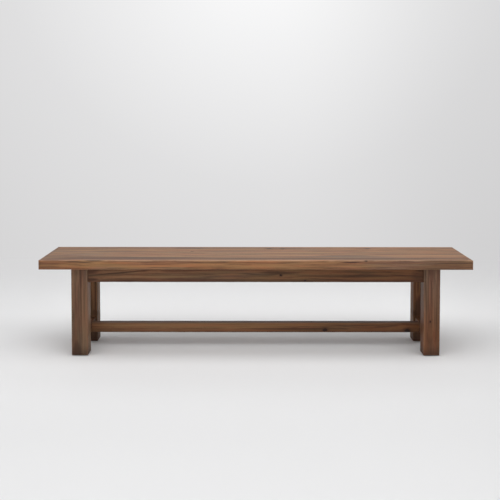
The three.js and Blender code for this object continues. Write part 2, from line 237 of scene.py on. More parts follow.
def settle(name, low, high):
    """Adds a block between two corners."""
    bpy.ops.object.select_all(action="DESELECT")
    bpy.ops.mesh.primitive_cube_add(size=1.0, location=(low + high) / 2)
    return claim(name, scale=high - low)


def open_up(piece):
    """Goes into edit mode on this piece, to work on its edges."""
    pick_up(piece)
    bpy.ops.object.mode_set(mode="EDIT")
    bpy.ops.mesh.select_mode(type="EDGE")


def close_up():
    bpy.ops.object.mode_set(mode="OBJECT")


def face_outwards():
    """Turns all faces of the open mesh outwards."""
    bpy.ops.mesh.select_all(action="SELECT")
    bpy.ops.mesh.normals_make_consistent(inside=False)


def copy_of(piece, name, **placing):
    """Gives a moved, turned or mirrored copy of a piece, with its own mesh."""
    pick_up(piece)
    bpy.ops.object.duplicate()
    twin = claim(name, **placing)
    open_up(twin)
    face_outwards()
    close_up()
    return twin


def discard(piece):
    bpy.data.objects.remove(piece, do_unlink=True)


def pick(piece, kind, wanted):
    """Selects the edges or faces of the open mesh that are wanted, and fails if there are none."""
    bpy.ops.mesh.select_mode(type=kind)
    bpy.ops.mesh.select_all(action="DESELECT")
    mesh = bmesh.from_edit_mesh(piece.data)
    mesh.normal_update()
    chosen = [part for part in (mesh.edges if kind == "EDGE" else mesh.faces) if wanted(part)]
    if not chosen:
        raise RuntimeError(f"{piece.name}: nothing to work on")
    for part in chosen:
        part.select_set(True)
    bmesh.update_edit_mesh(piece.data)


def slice_at(axis, place):
    """Cuts an edge loop round the open mesh in the plane where this axis has this value."""
    bpy.ops.mesh.select_all(action="SELECT")
    bpy.ops.mesh.bisect(plane_co=towards(axis, place), plane_no=towards(axis))


def slice_evenly(axis, low, high, inset):
    """Cuts loops at even steps between two planes, less an inset that keeps them inside the arrises."""
    start, stop = low + inset, high - inset
    count = max(1, round((stop - start) / bpy.context.scene.bench_surface.cut_across))
    for i in range(count + 1):
        slice_at(axis, start + (stop - start) * i / count)


def scribe(section):
    """Cuts loops at the bounds of a section, which gives a span for one axis or two."""
    for axis in sorted(section):
        for place in filter(math.isfinite, section[axis]):
            slice_at(axis, place)


def sides_of(points, low, high, within=ON_PLANE):
    """The sides of the box between low and high that all these points lie near, as (axis, sign)."""
    limits = [(axis, sign, (high if sign > 0 else low)[axis]) for axis in (X, Y, Z) for sign in ENDS]
    return {
        (axis, sign)
        for axis, sign, limit in limits
        if all(abs(point[axis] - limit) < within for point in points)
    }


def round_edges(piece, wanted, radius, segments=None):
    """Rounds the wanted edges of the open mesh, with as many facets as the settings say unless told."""
    pick(piece, "EDGE", wanted)
    segments = segments or bpy.context.scene.bench_surface.arris_segments
    bpy.ops.mesh.bevel(offset=radius, offset_type="OFFSET", segments=segments, affect="EDGES")


def round_arrises(piece, low, high, pairs, radius, segments=None):
    """Rounds every edge that lies in both of a pair of sides of the box."""

    def on_arris(edge):
        sides = sides_of([vert.co for vert in edge.verts], low, high)
        return any(sides.issuperset(pair) for pair in pairs)

    round_edges(piece, on_arris, radius, segments)


def round_rim(piece, low, high, level, radius, glued=()):
    """Rounds the edges of the top or underside, but not along a glue line."""

    def on_rim(edge):
        sides = sides_of([vert.co for vert in edge.verts], low, high)
        if (Z, level) not in sides or sides.intersection(glued) or len(edge.link_faces) != 2:
            return False
        one, other = (abs(face.normal[Z]) > FACING for face in edge.link_faces)
        return one != other

    round_edges(piece, on_rim, radius)


def pairs_along(axis):
    """The pairs of sides whose shared edges run along an axis."""
    first, second = [a for a in (X, Y, Z) if a != axis]
    return [((first, i), (second, j)) for i in ENDS for j in ENDS]


def draw_tenon(piece, along, end, place, reach, section):
    """Extrudes what lies in a section out of an end of the open mesh, where the end stands at this place."""

    def in_section(face):
        middle = face.calc_center_median()
        on_end = abs(middle[along] - place) < ON_PLANE and face.normal[along] * end > FACING
        return on_end and all(low < middle[axis] < high for axis, (low, high) in section.items())

    pick(piece, "FACE", in_section)
    bpy.ops.mesh.extrude_region_move(TRANSFORM_OT_translate={"value": towards(along, end * reach)})


def cut_lengthwise(piece, axis, shortest):
    """Divides the long edges that run along an axis, so that the faces can be worked."""

    def runs_along(edge):
        span = edge.verts[1].co - edge.verts[0].co
        return abs(span[axis]) > shortest and abs(span[axis]) > ALONG * span.length

    longest = max(edge.calc_length() for edge in bmesh.from_edit_mesh(piece.data).edges if runs_along(edge))
    pick(piece, "EDGE", runs_along)
    spacing = bpy.context.scene.bench_surface.cut_along
    bpy.ops.mesh.subdivide(number_cuts=max(1, round(longest / spacing) - 1))


def tenoned_rail(name, low, high, along, section, reach, pairs, radius):
    """Makes a rail between its shoulders with a tenon at both ends, and rounds it where these sides meet."""
    rail = settle(name, low, high)
    open_up(rail)
    scribe(section)
    for end, shoulders in zip(ENDS, (low, high)):
        draw_tenon(rail, along, end, shoulders[along], reach, section)
    round_arrises(rail, low, high, pairs, radius)
    cut_lengthwise(rail, along, RAIL_EDGE)
    close_up()
    return rail


def modify(piece, kind, **settings):
    """Applies a modifier."""
    pick_up(piece)
    modifier = piece.modifiers.new(kind, kind)
    configure(modifier, settings)
    bpy.ops.object.modifier_apply(modifier=modifier.name)


def cut_away(piece, cutter):
    """Takes the cutter's shape out of the piece."""
    modify(piece, "BOOLEAN", operation="DIFFERENCE", solver="EXACT", object=cutter)
    discard(cutter)


def chop(piece, spans, grow=0.0):
    """Chops a mortise or ploughs a groove: a block with a span along each axis, larger all round by grow."""
    low = Vector([min(spans[axis]) - grow for axis in (X, Y, Z)])
    high = Vector([max(spans[axis]) + grow for axis in (X, Y, Z)])
    cut_away(piece, settle("chisel", low, high))


def drill(piece, node, foot, top, radius, top_radius=None, sides=HOLE_SIDES):
    """Drills from one level to another on the upright axis of a fixing, straight or as a cone."""
    low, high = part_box(node)
    place = (low + high) / 2
    place[Z] = foot
    depth = top - place[Z]
    place += towards(Z, depth / 2)
    bpy.ops.object.select_all(action="DESELECT")
    bpy.ops.mesh.primitive_cone_add(
        vertices=sides, radius1=radius, radius2=top_radius or radius, depth=depth, location=place
    )
    cut_away(piece, bpy.context.active_object)


def screw_hole(piece, node, top):
    """Drills a screw's hole out through the top of a piece, with a cone for the screw's head."""
    joinery = bpy.context.scene.bench_joinery
    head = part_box(node)[0][Z]
    room = joinery.screw_shank + joinery.joint_gap
    drill(piece, node, head - OVERRUN, top + OVERRUN, room)
    drill(piece, node, head, head + joinery.screw_head_height, joinery.screw_head + joinery.joint_gap, room)


def rub(piece, vertices, pattern, spacing, depth):
    """Sinks these vertices into the wood by up to a depth, never out of it, in soft hollows so far apart."""
    texture = bpy.data.textures.get(pattern) or bpy.data.textures.new(pattern, "CLOUDS")
    texture.noise_scale = spacing
    texture.noise_depth = 1
    group = piece.vertex_groups.new(name=pattern)
    group.add(vertices, 1.0, "REPLACE")
    settings = {"texture": texture, "texture_coords": "LOCAL", "vertex_group": group.name}
    modify(piece, "DISPLACE", mid_level=1.0, strength=depth, **settings)
    piece.vertex_groups.clear()


def work_faces(piece, low, high, reach, still=(), depth_share=1.0):
    """Gives the faces the waves of a plane and rubs the arrises, but not the sides named in still.

    Low and high are the box whose arrises are rubbed, and reach is how far their rounding runs.
    """
    surface = bpy.context.scene.bench_surface
    still = set(still)
    shown = [v for v in piece.data.vertices if not sides_of([v.co], low, high) & still]
    edges = [v.index for v in shown if len(sides_of([v.co], low, high, reach) - still) > 1]
    shown = [v.index for v in shown]
    rub(piece, edges, "arris_wear", surface.wear_spacing, surface.wear_depth * depth_share)
    rub(piece, shown, "plane_wave", surface.wave_spacing, surface.wave_depth * depth_share)


def finish_timber(piece, timber, slot, low, high):
    """Smooths the faces, gives the wood, with arrises rubbed and painted with a highlight along this box,
    and stands in for the timber's CAD node.
    """
    pick_up(piece)
    bpy.ops.object.shade_smooth_by_angle(angle=SMOOTH_ANGLE)
    piece.data.materials.clear()
    piece.data.materials.append(timber_material(timber, slot, low, high))
    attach(piece, BODY)
    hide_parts(timber.node)


# Making materials


class Wire:
    """What comes out of a socket. Arithmetic on it adds nodes, for numbers or vectors as the socket is."""

    def __init__(self, socket):
        self.socket = socket
        self.tree = socket.id_data

    def work(self, operation, *others):
        kind = "Math" if self.socket.type == "VALUE" else "VectorMath"
        return add(self.tree, kind, dict(enumerate((self, *others))), operation=operation)[0]

    def __add__(self, other):
        return self.work("ADD", other)

    def __sub__(self, other):
        return self.work("SUBTRACT", other)

    def __rsub__(self, other):
        return self * -1.0 + other

    def __mul__(self, other):
        return self.work("MULTIPLY", other)

    def __truediv__(self, other):
        return self.work("DIVIDE", other)

    def greater(self, other):
        return self.work("MAXIMUM", other)

    def lesser(self, other):
        return self.work("MINIMUM", other)

    def size(self):
        """The length of a vector."""
        return add(self.tree, "VectorMath", {0: self}, operation="LENGTH")["Value"]

    def part(self, axis):
        """One of a vector's three numbers."""
        return add(self.tree, "SeparateXYZ", {0: self})[axis]

    def ramp(self, start, end, low=0.0, high=1.0):
        """Maps start to low and end to high, smoothly, and holds both beyond."""
        inputs = {"Value": self, "From Min": start, "From Max": end, "To Min": low, "To Max": high}
        return add(self.tree, "MapRange", inputs, interpolation_type="SMOOTHSTEP")[0]

    def noise(self, along, across, detail=2.0, roughness=0.5, output="Fac"):
        """Noise at this place, with so many features to the metre along X and across it."""
        place = self * (along, across, across)
        inputs = {"Vector": place, "Scale": 1.0, "Detail": detail, "Roughness": roughness}
        return add(self.tree, "TexNoise", inputs)[output]

    def mix(self, first, second):
        """The first colour where this is nought, and the second where it is one."""
        return add(self.tree, "Mix", {0: self, 6: first, 7: second}, data_type="RGBA", clamp_factor=True)[2]


def wires(node):
    """What comes out of a node, by place and by name."""
    return {key: Wire(socket) for i, socket in enumerate(node.outputs) for key in (i, socket.name)}


def feed(socket, value):
    """Links a wire to an input, or sets the input to a plain value."""
    if isinstance(value, Wire):
        socket.id_data.links.new(value.socket, socket)
    else:
        socket.default_value = value


def add(tree, kind, inputs, **settings):
    """Adds a node, with its inputs fed by name or by place."""
    node = tree.nodes.new(f"ShaderNode{kind}")
    configure(node, settings)
    for name, value in inputs.items():
        feed(node.inputs[name], value)
    return wires(node)


def empty_tree(owner):
    """Gives a material or world a node tree with nothing in it."""
    owner.use_nodes = True
    owner.node_tree.nodes.clear()
    return owner.node_tree


def seen_rays(tree):
    """One for the rays that show a background: the camera's own, and those by way of gloss and glass."""
    rays = add(tree, "LightPath", {})
    return rays["Is Camera Ray"].greater(rays["Is Glossy Ray"]).greater(rays["Is Transmission Ray"])


def coat(tree, colour, roughness, height, bump, **inputs):
    """Ends a material with a shader of this colour and roughness. Bump is its strength and depth."""
    bumped = add(tree, "Bump", {"Height": height, "Strength": bump[0], "Distance": bump[1]})[0]
    inputs = {"Base Color": colour, "Roughness": roughness, "Normal": bumped, **inputs}
    add(tree, "OutputMaterial", {"Surface": add(tree, "BsdfPrincipled", inputs)[0]})


OUTPUTS = {"VALUE": "NodeSocketFloat", "VECTOR": "NodeSocketVector", "RGBA": "NodeSocketColor"}


def node_group(name, **kinds):
    """Turns a function from wires to wires into one that adds a node group, made when it is first wanted.

    Each keyword is a kind of socket, with the names of the inputs of that kind.
    """

    def build(fill):
        group = bpy.data.node_groups.new(name, "ShaderNodeTree")
        for kind, labels in kinds.items():
            for label in labels:
                group.interface.new_socket(label, in_out="INPUT", socket_type=f"NodeSocket{kind}")
        results = fill(wires(group.nodes.new("NodeGroupInput")))
        for label, wire in results.items():
            group.interface.new_socket(label, in_out="OUTPUT", socket_type=OUTPUTS[wire.socket.type])
        end = group.nodes.new("NodeGroupOutput")
        for label, wire in results.items():
            feed(end.inputs[label], wire)
        return group

    def wrap(fill):
        return lambda tree, inputs: add(
            tree, "Group", inputs, node_tree=bpy.data.node_groups.get(name) or build(fill)
        )

    return wrap


# The middle of the noise, and how far it bends the rings: slowly along the tree, and in a quiver
HALF = (0.5, 0.5, 0.5)
WANDER = (0.03, 0.03, 0.03)
QUIVER = (0.006, 0.006, 0.006)
# How unevenly the rings follow each other, and by how many ring widths
RING_UNEVEN = 0.37
RING_DRIFT = 2.6


@node_group(
    "timber grain",
    Vector=("Vector", "Shift", "Pith", "Knot Push"),
    Float=("Ring Width", "Ring Contrast", "Streak Share", "Line Share"),
    Color=("Pale", "Brown", "Dark", "Grey"),
)
def timber_grain(given):
    """Wood whose fibres run along X: growth rings about a wandering pith, streaks, fibres and pores."""
    shifted = given["Vector"] + given["Shift"]

    # The pith wanders slowly along the tree, so a straight cut crosses the rings in long waves
    slow = (shifted.noise(1.3, 4.16, output="Color") - HALF) * WANDER
    quick = (shifted.noise(4.5, 26.0, output="Color") - HALF) * QUIVER
    bent = given["Vector"] + slow + quick + given["Knot Push"]
    ring = ((bent - given["Pith"]) * (0.0, 1.0, 1.0)).size() / given["Ring Width"]
    inputs = {"W": ring, "Scale": RING_UNEVEN, "Detail": 1.0}
    ring = add(ring.tree, "TexNoise", inputs, noise_dimensions="1D")["Fac"] * RING_DRIFT + ring
    phase = ring.work("FRACT")
    year = add(ring.tree, "TexWhiteNoise", {"W": ring.work("FLOOR")}, noise_dimensions="1D")["Value"]
    late = phase.ramp(0.25, 0.9) * phase.ramp(0.9, 1.0, 1.0, 0.0) * year.ramp(0.0, 1.0, 0.25, 1.0)

    # Streaks, lines and fibres follow the same bends
    woven = bent + given["Shift"]
    streak = woven.noise(1.6, 70.0, 3.0, 0.55).ramp(0.5, 0.66)
    tone = woven.noise(1.2, 24.0, 3.0, 0.55)
    lines = woven.noise(5.0, 150.0, 2.0, 0.6)
    fibre = woven.noise(9.0, 420.0, 3.0, 0.6)
    grey = shifted.noise(1.9, 15.0)
    pores = shifted.noise(60.0, 1500.0, 1.0).ramp(0.62, 0.72)

    colour = tone.ramp(0.35, 0.65).mix(given["Pale"], given["Brown"])
    layers = (
        (grey.ramp(0.5, 0.72, 0.0, 0.75), "Grey"),
        (late * given["Ring Contrast"], "Dark"),
        (streak * given["Streak Share"], "Dark"),
        (lines.ramp(0.52, 0.66, 0.0, given["Line Share"]), "Dark"),
        (lines.ramp(0.48, 0.34, 0.0, given["Line Share"]), "Pale"),
        (fibre.ramp(0.5, 0.85, 0.0, 0.45), "Dark"),
        (fibre.ramp(0.5, 0.2, 0.0, 0.3), "Pale"),
        (pores * 0.45, "Dark"),
    )
    for share, shade in layers:
        colour = share.mix(colour, given[shade])
    return {
        "Color": colour,
        "Roughness": fibre * 0.16 + 0.5 + pores * 0.12 - late * 0.06,
        "Height": fibre * 0.5 + 0.5 - pores * 0.5 + late * 0.35,
    }


@node_group("timber knot", Vector=("Vector", "Centre"), Float=("Size",))
def timber_knot(given):
    """A knot: how far it pushes the rings apart, and masks of its dark core and the stain about it."""
    off = given["Vector"] - given["Centre"]
    reach = ((off * (0.25, 1.0, 1.0)).size() / given["Size"]).ramp(0.0, 3.2, 0.9, 0.0)
    ragged = given["Vector"].noise(160.0, 160.0, 2.0, 0.6) * 0.6 - 0.3
    spread = (off * (0.7, 1.0, 1.0)).size() / given["Size"] + ragged
    return {
        "Push": off * (0.0, -1.0, -1.0) * reach,
        "Core": spread.ramp(0.42, 0.66, 1.0, 0.0),
        "Stain": spread.ramp(0.5, 1.4, 0.6, 0.0),
    }


@node_group("timber streak", Vector=("Vector", "Centre", "Half Size", "Slope"))
def timber_streak(given):
    """A dark or pale lens, long along X, with a slope, a slight wave and a thready edge: figure in the wood,
    and also bands of painted shade and light where the tables place them.
    """
    place = given["Vector"]
    off = place - given["Centre"]
    wave = (place.noise(7.0, 20.0, output="Color") - HALF) * (0.0, 0.006, 0.006)
    off = off - given["Slope"] * off.part(X) + wave
    thready = place.noise(9.0, 260.0, 2.0, 0.6) * 0.5 - 0.25
    return {"Mask": ((off / given["Half Size"]).size() + thready).ramp(0.45, 1.1, 1.0, 0.0)}


@node_group("arris wear", Vector=("Vector", "Half Size"))
def arris_wear(given):
    """Masks from the distance to the faces of a box about the origin: rubbed arrises, which also carry a
    painted highlight, and end grain.
    """
    inside = given["Half Size"] - given["Vector"].work("ABSOLUTE")
    in_x, in_y, in_z = (inside.part(axis) for axis in (X, Y, Z))
    second = in_y.lesser(in_z).greater(in_y.greater(in_z).lesser(in_x))
    patchy = given["Vector"].noise(14.0, 30.0, 3.0, 0.6)
    return {
        "Worn": second.ramp(0.0009, 0.006, 1.0, 0.0) * patchy.ramp(0.3, 0.62),
        "End Grain": in_x.ramp(0.0006, 0.0035, 1.0, 0.0),
    }


# Painted sheen: the seat's top is paler than its edges, down to this depth
SEAT_TOP_SHEEN = (0.92, 0.96, 1.015, 1.0)
TOP_DEPTH = 0.003
# Slow changes of hue along the wood
RED_MOTTLE = (1.08, 0.95, 0.93, 1.0)
OLIVE_MOTTLE = (0.94, 1.04, 1.02, 1.0)
# How dark the painted shade at the foot of a leg is
FOOT_SHADE = 0.6


@node_group(
    "timber tone",
    Vector=("Vector", "Shift", "Half Size"),
    Float=("Top Share",),
    Color=("Near Tone", "Far Tone"),
)
def timber_tone(given):
    """How a timber's tone changes along it, with a painted sheen on the top of a seat board, and in slow
    patches of hue.

    Level rises from a rail's underside to its top and fades the painted highlight on the rubbed arrises
    towards the underside. The last output is painted shade that darkens the foot of a leg.
    """
    place, half = given["Vector"], given["Half Size"]
    along = place.part(X) / (half.part(X) * 2.0)
    level, top = place.part(Z), half.part(Z)
    on_top = level.ramp(top - TOP_DEPTH, top - TOP_DEPTH / 2) * given["Top Share"]
    tone = on_top.mix(along.ramp(-0.35, 0.4).mix(given["Near Tone"], given["Far Tone"]), SEAT_TOP_SHEEN)
    mottle = (place + given["Shift"]).noise(5.0, 55.0).ramp(0.3, 0.7)
    return {
        "Tone": tone * mottle.mix(RED_MOTTLE, OLIVE_MOTTLE),
        "Level": level.ramp(top * -1.0, top, 0.1, 1.0),
        "Soil": along.ramp(-0.5, -0.36, FOOT_SHADE, 0.0),
    }


@node_group("fixing patches", Vector=("Vector",), Float=("Scale",))
def fixing_patches(given):
    """Dull or scuffed patches on a fixing, and the fine bumps of its surface."""
    place = given["Vector"] * given["Scale"]
    return {"Dull": place.noise(1.0, 1.0, 3.0, 0.6).ramp(0.42, 0.66), "Height": place.noise(6.0, 6.0)}


# One timber: the axis its fibres run along, where its pith lies from its middle across the fibres, the width
# of its rings and how strongly they show, its tone at the left, front or foot end and at the other end, its
# knots as (place from the middle, size), and its streaks by the face they show on, which is an axis and a
# place from the middle
TIMBER_FIELDS = "node axis pith ring figure near_tone far_tone knots streaks"
Timber = namedtuple("Timber", TIMBER_FIELDS, defaults=((), {}))
PLAIN = (1.0, 1.0, 1.0)
TURNS = {X: (0.0, 0.0, 0.0), Y: (0.0, 0.0, -math.pi / 2), Z: (0.0, math.pi / 2, 0.0)}

# The wood of a slot: whose pale, brown, grey and rubbed tones it has and whose dark one, its gloss, how far
# its arrises are rubbed and painted with a highlight, and how far its top has the seat's painted sheen. What
# lies under the seat is stained less.
Wood = namedtuple("Wood", "tones dark gloss worn top_share")
WOODS = {
    "seat_wood": Wood("seat", "seat", 0.35, 0.7, 1.0),
    "frame_wood": Wood("frame", "frame", 0.22, 0.45, 0.0),
    "hidden_wood": Wood("seat", "frame", 0.22, 0.45, 0.0),
}

KNOT_CORE = (0.018, 0.007, 0.0035, 1.0)
RING_CONTRAST = 0.85
STREAK_SHARE = 0.75
LINE_SHARE = 0.45
# How much darker and rougher the end grain is, and the strength and depth of the grain's bumps
END_STAIN = 0.35
END_ROUGHNESS = 0.15
GRAIN_BUMP = (0.35, 0.0004)

SEED = 7


def timber_material(timber, slot, wear_low, wear_high):
    """Wood for one piece, with its own place in the tree."""
    wood, finish = WOODS[slot], bpy.context.scene.bench_finish
    shades = {
        shade: (*getattr(finish, f"{wood.dark if shade == 'dark' else wood.tones}_{shade}"), 1.0)
        for shade in ("pale", "brown", "dark", "grey", "rubbed")
    }
    material = bpy.data.materials.new(f"{timber.node}_wood")
    tree = empty_tree(material)
    turn = Euler(TURNS[timber.axis]).to_matrix()
    place = add(tree, "TexCoord", {})["Object"]

    def within(low, high):
        """The place from the middle of a box with the fibres along X, and half the box's size."""
        inputs = {"Vector": place, "Location": -(turn @ ((low + high) / 2)), "Rotation": TURNS[timber.axis]}
        half = [abs(v) for v in turn @ ((high - low) / 2)]
        return {"Vector": add(tree, "Mapping", inputs, vector_type="POINT")[0], "Half Size": half}

    body = within(*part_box(timber.node))
    local = {"Vector": body["Vector"]}
    shift = [random.Random(f"{SEED} {timber.node}").uniform(-20.0, 20.0) + i for i in range(3)]
    tones = {"Near Tone": (*timber.near_tone, 1.0), "Far Tone": (*timber.far_tone, 1.0)}
    # The tone carries the painted sheen on the seat's top.
    aspect = timber_tone(tree, {**body, "Shift": shift, **tones, "Top Share": wood.top_share})
    nothing = add(tree, "Value", {})[0]
    nothing.socket.default_value = 0.0
    push = core = stain = pale = nothing
    for centre, size in timber.knots:
        knot = timber_knot(tree, {**local, "Centre": turn @ Vector(centre), "Size": size})
        push = knot["Push"] + push
        core = knot["Core"].greater(core)
        stain = knot["Stain"].greater(stain)
    dark = stain
    for (side, depth), streaks in timber.streaks.items():
        across = X + Y + Z - side - timber.axis
        for along, level, half_length, half_width, share, *rise in streaks:
            centre = towards(timber.axis, along) + towards(side, depth) + towards(across, level)
            shape = {
                "Centre": turn @ centre,
                "Half Size": (half_length, half_width, half_width),
                "Slope": turn @ towards(across, sum(rise)),
            }
            mask = timber_streak(tree, {**local, **shape})["Mask"] * abs(share)
            if share > 0:
                dark = mask.greater(dark)
            else:
                pale = mask.greater(pale)
    wear = arris_wear(tree, within(wear_low, wear_high))
    ends = wear["End Grain"]
    look = {
        "Pith": (0.0, *timber.pith),
        "Ring Width": timber.ring,
        "Knot Push": push,
        "Ring Contrast": RING_CONTRAST * timber.figure,
        "Streak Share": (1.0 - ends) * (STREAK_SHARE * timber.figure),
        "Line Share": (1.0 - ends) * LINE_SHARE,
        **{shade.title(): shades[shade] for shade in ("pale", "brown", "dark", "grey")},
    }
    grain = timber_grain(tree, {**local, "Shift": shift, **look})
    # The rubbed colour goes on the arrises both as wear and as a painted highlight.
    rubbed = wear["Worn"] * wood.worn * (1.0 - dark)
    colour = pale.mix(grain["Color"], shades["pale"])
    colour = dark.mix(colour, shades["dark"]) * aspect["Tone"]
    colour = core.mix(colour, KNOT_CORE)
    colour = (ends * END_STAIN).mix(colour, shades["dark"])
    # Painted shade darkens the foot of a leg; on the other timbers the painted highlight of the rubbed
    # arrises fades towards the underside.
    if timber.axis == Z:
        colour = aspect["Soil"].mix(colour, shades["dark"])
    else:
        rubbed = rubbed * aspect["Level"]
    colour = rubbed.mix(colour, shades["rubbed"])
    roughness = ends * END_ROUGHNESS + grain["Roughness"]
    coat(tree, colour, roughness, grain["Height"], GRAIN_BUMP, **{"Specular IOR Level": wood.gloss})
    return material


# The streaks on a face, each as (place along the fibres, place across them, half length, half width, share,
# and the rise across for each metre along, where it has one). A share below nought is a pale streak. Most
# streaks are figure in the wood; those noted below are painted shade or painted light.
# Painted shade at the left end of each seat board's top.
SHADED_LEFT_END = (-1.0, 0.0, 0.02, 0.12, 0.45)
SEAT_TIMBERS = (
    Timber(
        "seat_board_front", X, (0.05, 0.035), 0.009, 0.58, (0.83, 0.74, 0.62), (0.665, 0.62, 0.59),
        (((0.506, -0.034, 0.02), 0.007),),
        {
            (Y, -0.036): (
                (-0.95, -0.012, 0.07, 0.018, 0.35), (-0.93, 0.0225, 0.085, 0.0055, 0.6),
                (-0.92, 0.0125, 0.065, 0.005, -0.75), (-0.88, -0.017, 0.16, 0.006, 0.5),
                (-0.88, -0.006, 0.07, 0.005, -0.6), (-0.84, 0.003, 0.05, 0.0025, 0.5),
                (-0.82, 0.0145, 0.085, 0.0036, 0.7, -0.06), (-0.745, 0.0205, 0.05, 0.006, 0.85),
                (-0.73, 0.011, 0.05, 0.003, -0.8), (-0.6, 0.0085, 0.13, 0.0034, 0.2, 0.03),
                (-0.56, -0.0115, 0.09, 0.0045, -0.6), (-0.53, 0.0235, 0.045, 0.004, 0.6),
                (-0.45, -0.0055, 0.3, 0.0045, -0.85), (-0.42, 0.0045, 0.14, 0.0034, 0.5, 0.02),
                (-0.14, 0.0105, 0.3, 0.004, 0.4), (-0.1, 0.0235, 1.0, 0.006, -0.8),
                # (0.0, -0.022) is painted shade along the bottom edge of the front face.
                (0.0, -0.022, 1.3, 0.006, 0.25), (0.04, -0.0055, 0.16, 0.005, -0.95),
                (0.1, 0.0175, 0.22, 0.003, -0.6), (0.2, 0.006, 0.1, 0.003, -0.5),
                (0.25, 0.0115, 0.08, 0.004, -0.5), (0.33, 0.002, 0.13, 0.0045, 0.15, 0.02),
                (0.435, 0.0125, 0.055, 0.0042, 1.0), (0.45, -0.007, 0.13, 0.004, -0.8),
                (0.56, -0.004, 0.1, 0.006, -0.5), (0.62, -0.0225, 0.32, 0.004, 0.5),
                (0.62, 0.009, 0.14, 0.004, 0.15), (0.78, -0.006, 0.13, 0.006, 0.35),
                (0.87, -0.017, 0.14, 0.005, 0.5), (0.88, -0.003, 0.13, 0.007, 0.45),
                (0.88, 0.0205, 0.15, 0.007, 0.75), (0.92, 0.008, 0.12, 0.004, 0.6),
                (0.96, -0.004, 0.04, 0.004, -0.7),
            ),
            (Z, 0.022): (
                SHADED_LEFT_END,
                (-0.93, -0.006, 0.12, 0.05, 0.5), (-0.6, 0.014, 0.62, 0.024, 0.85),
                (0.02, 0.012, 0.52, 0.028, 0.8), (0.62, 0.014, 0.6, 0.026, 0.75),
            ),
            (Y, -0.034): (
                (0.53, 0.0225, 0.05, 0.004, 0.6),
            ),
        },
    ),
    Timber(
        "seat_board_front_middle", X, (-0.03, -0.12), 0.011, 0.9, (0.77, 0.7, 0.57), (0.7, 0.64, 0.54),
        (),
        {
            (Z, 0.022): (
                SHADED_LEFT_END,
                (-0.6, -0.044, 0.5, 0.018, 0.75), (-0.6, 0.0, 0.25, 0.014, -0.5),
                (0.12, 0.01, 0.3, 0.016, -0.6), (0.4, -0.052, 0.8, 0.01, 0.4),
                (0.8, 0.006, 0.32, 0.036, -0.65),
            ),
        },
    ),
    Timber(
        "seat_board_back_middle", X, (0.06, -0.09), 0.01, 0.9, (0.77, 0.7, 0.57), (0.7, 0.64, 0.54),
        (((-0.31, 0.02, 0.021), 0.008),),
        {
            (Z, 0.022): (
                SHADED_LEFT_END,
                (-0.8, -0.03, 0.2, 0.014, -0.5), (-0.7, 0.01, 0.2, 0.018, 0.4), (0.2, 0.0, 0.3, 0.02, -0.6),
                (0.42, -0.022, 0.62, 0.014, -0.75), (0.72, 0.024, 0.34, 0.022, -0.55),
            ),
        },
    ),
    Timber(
        "seat_board_back", X, (0.02, 0.13), 0.011, 0.9, (0.77, 0.7, 0.57), (0.7, 0.64, 0.54),
        (((0.07, 0.004, 0.022), 0.016), ((0.135, -0.006, 0.022), 0.011), ((0.56, 0.0, 0.022), 0.015)),
        {
            (Z, 0.022): (
                SHADED_LEFT_END,
                (-0.8, -0.01, 0.15, 0.02, 0.45), (-0.4, -0.014, 0.28, 0.012, 0.4),
                (-0.33, 0.01, 0.1, 0.02, 0.6), (0.83, -0.014, 0.12, 0.014, 0.4),
            ),
        },
    ),
)
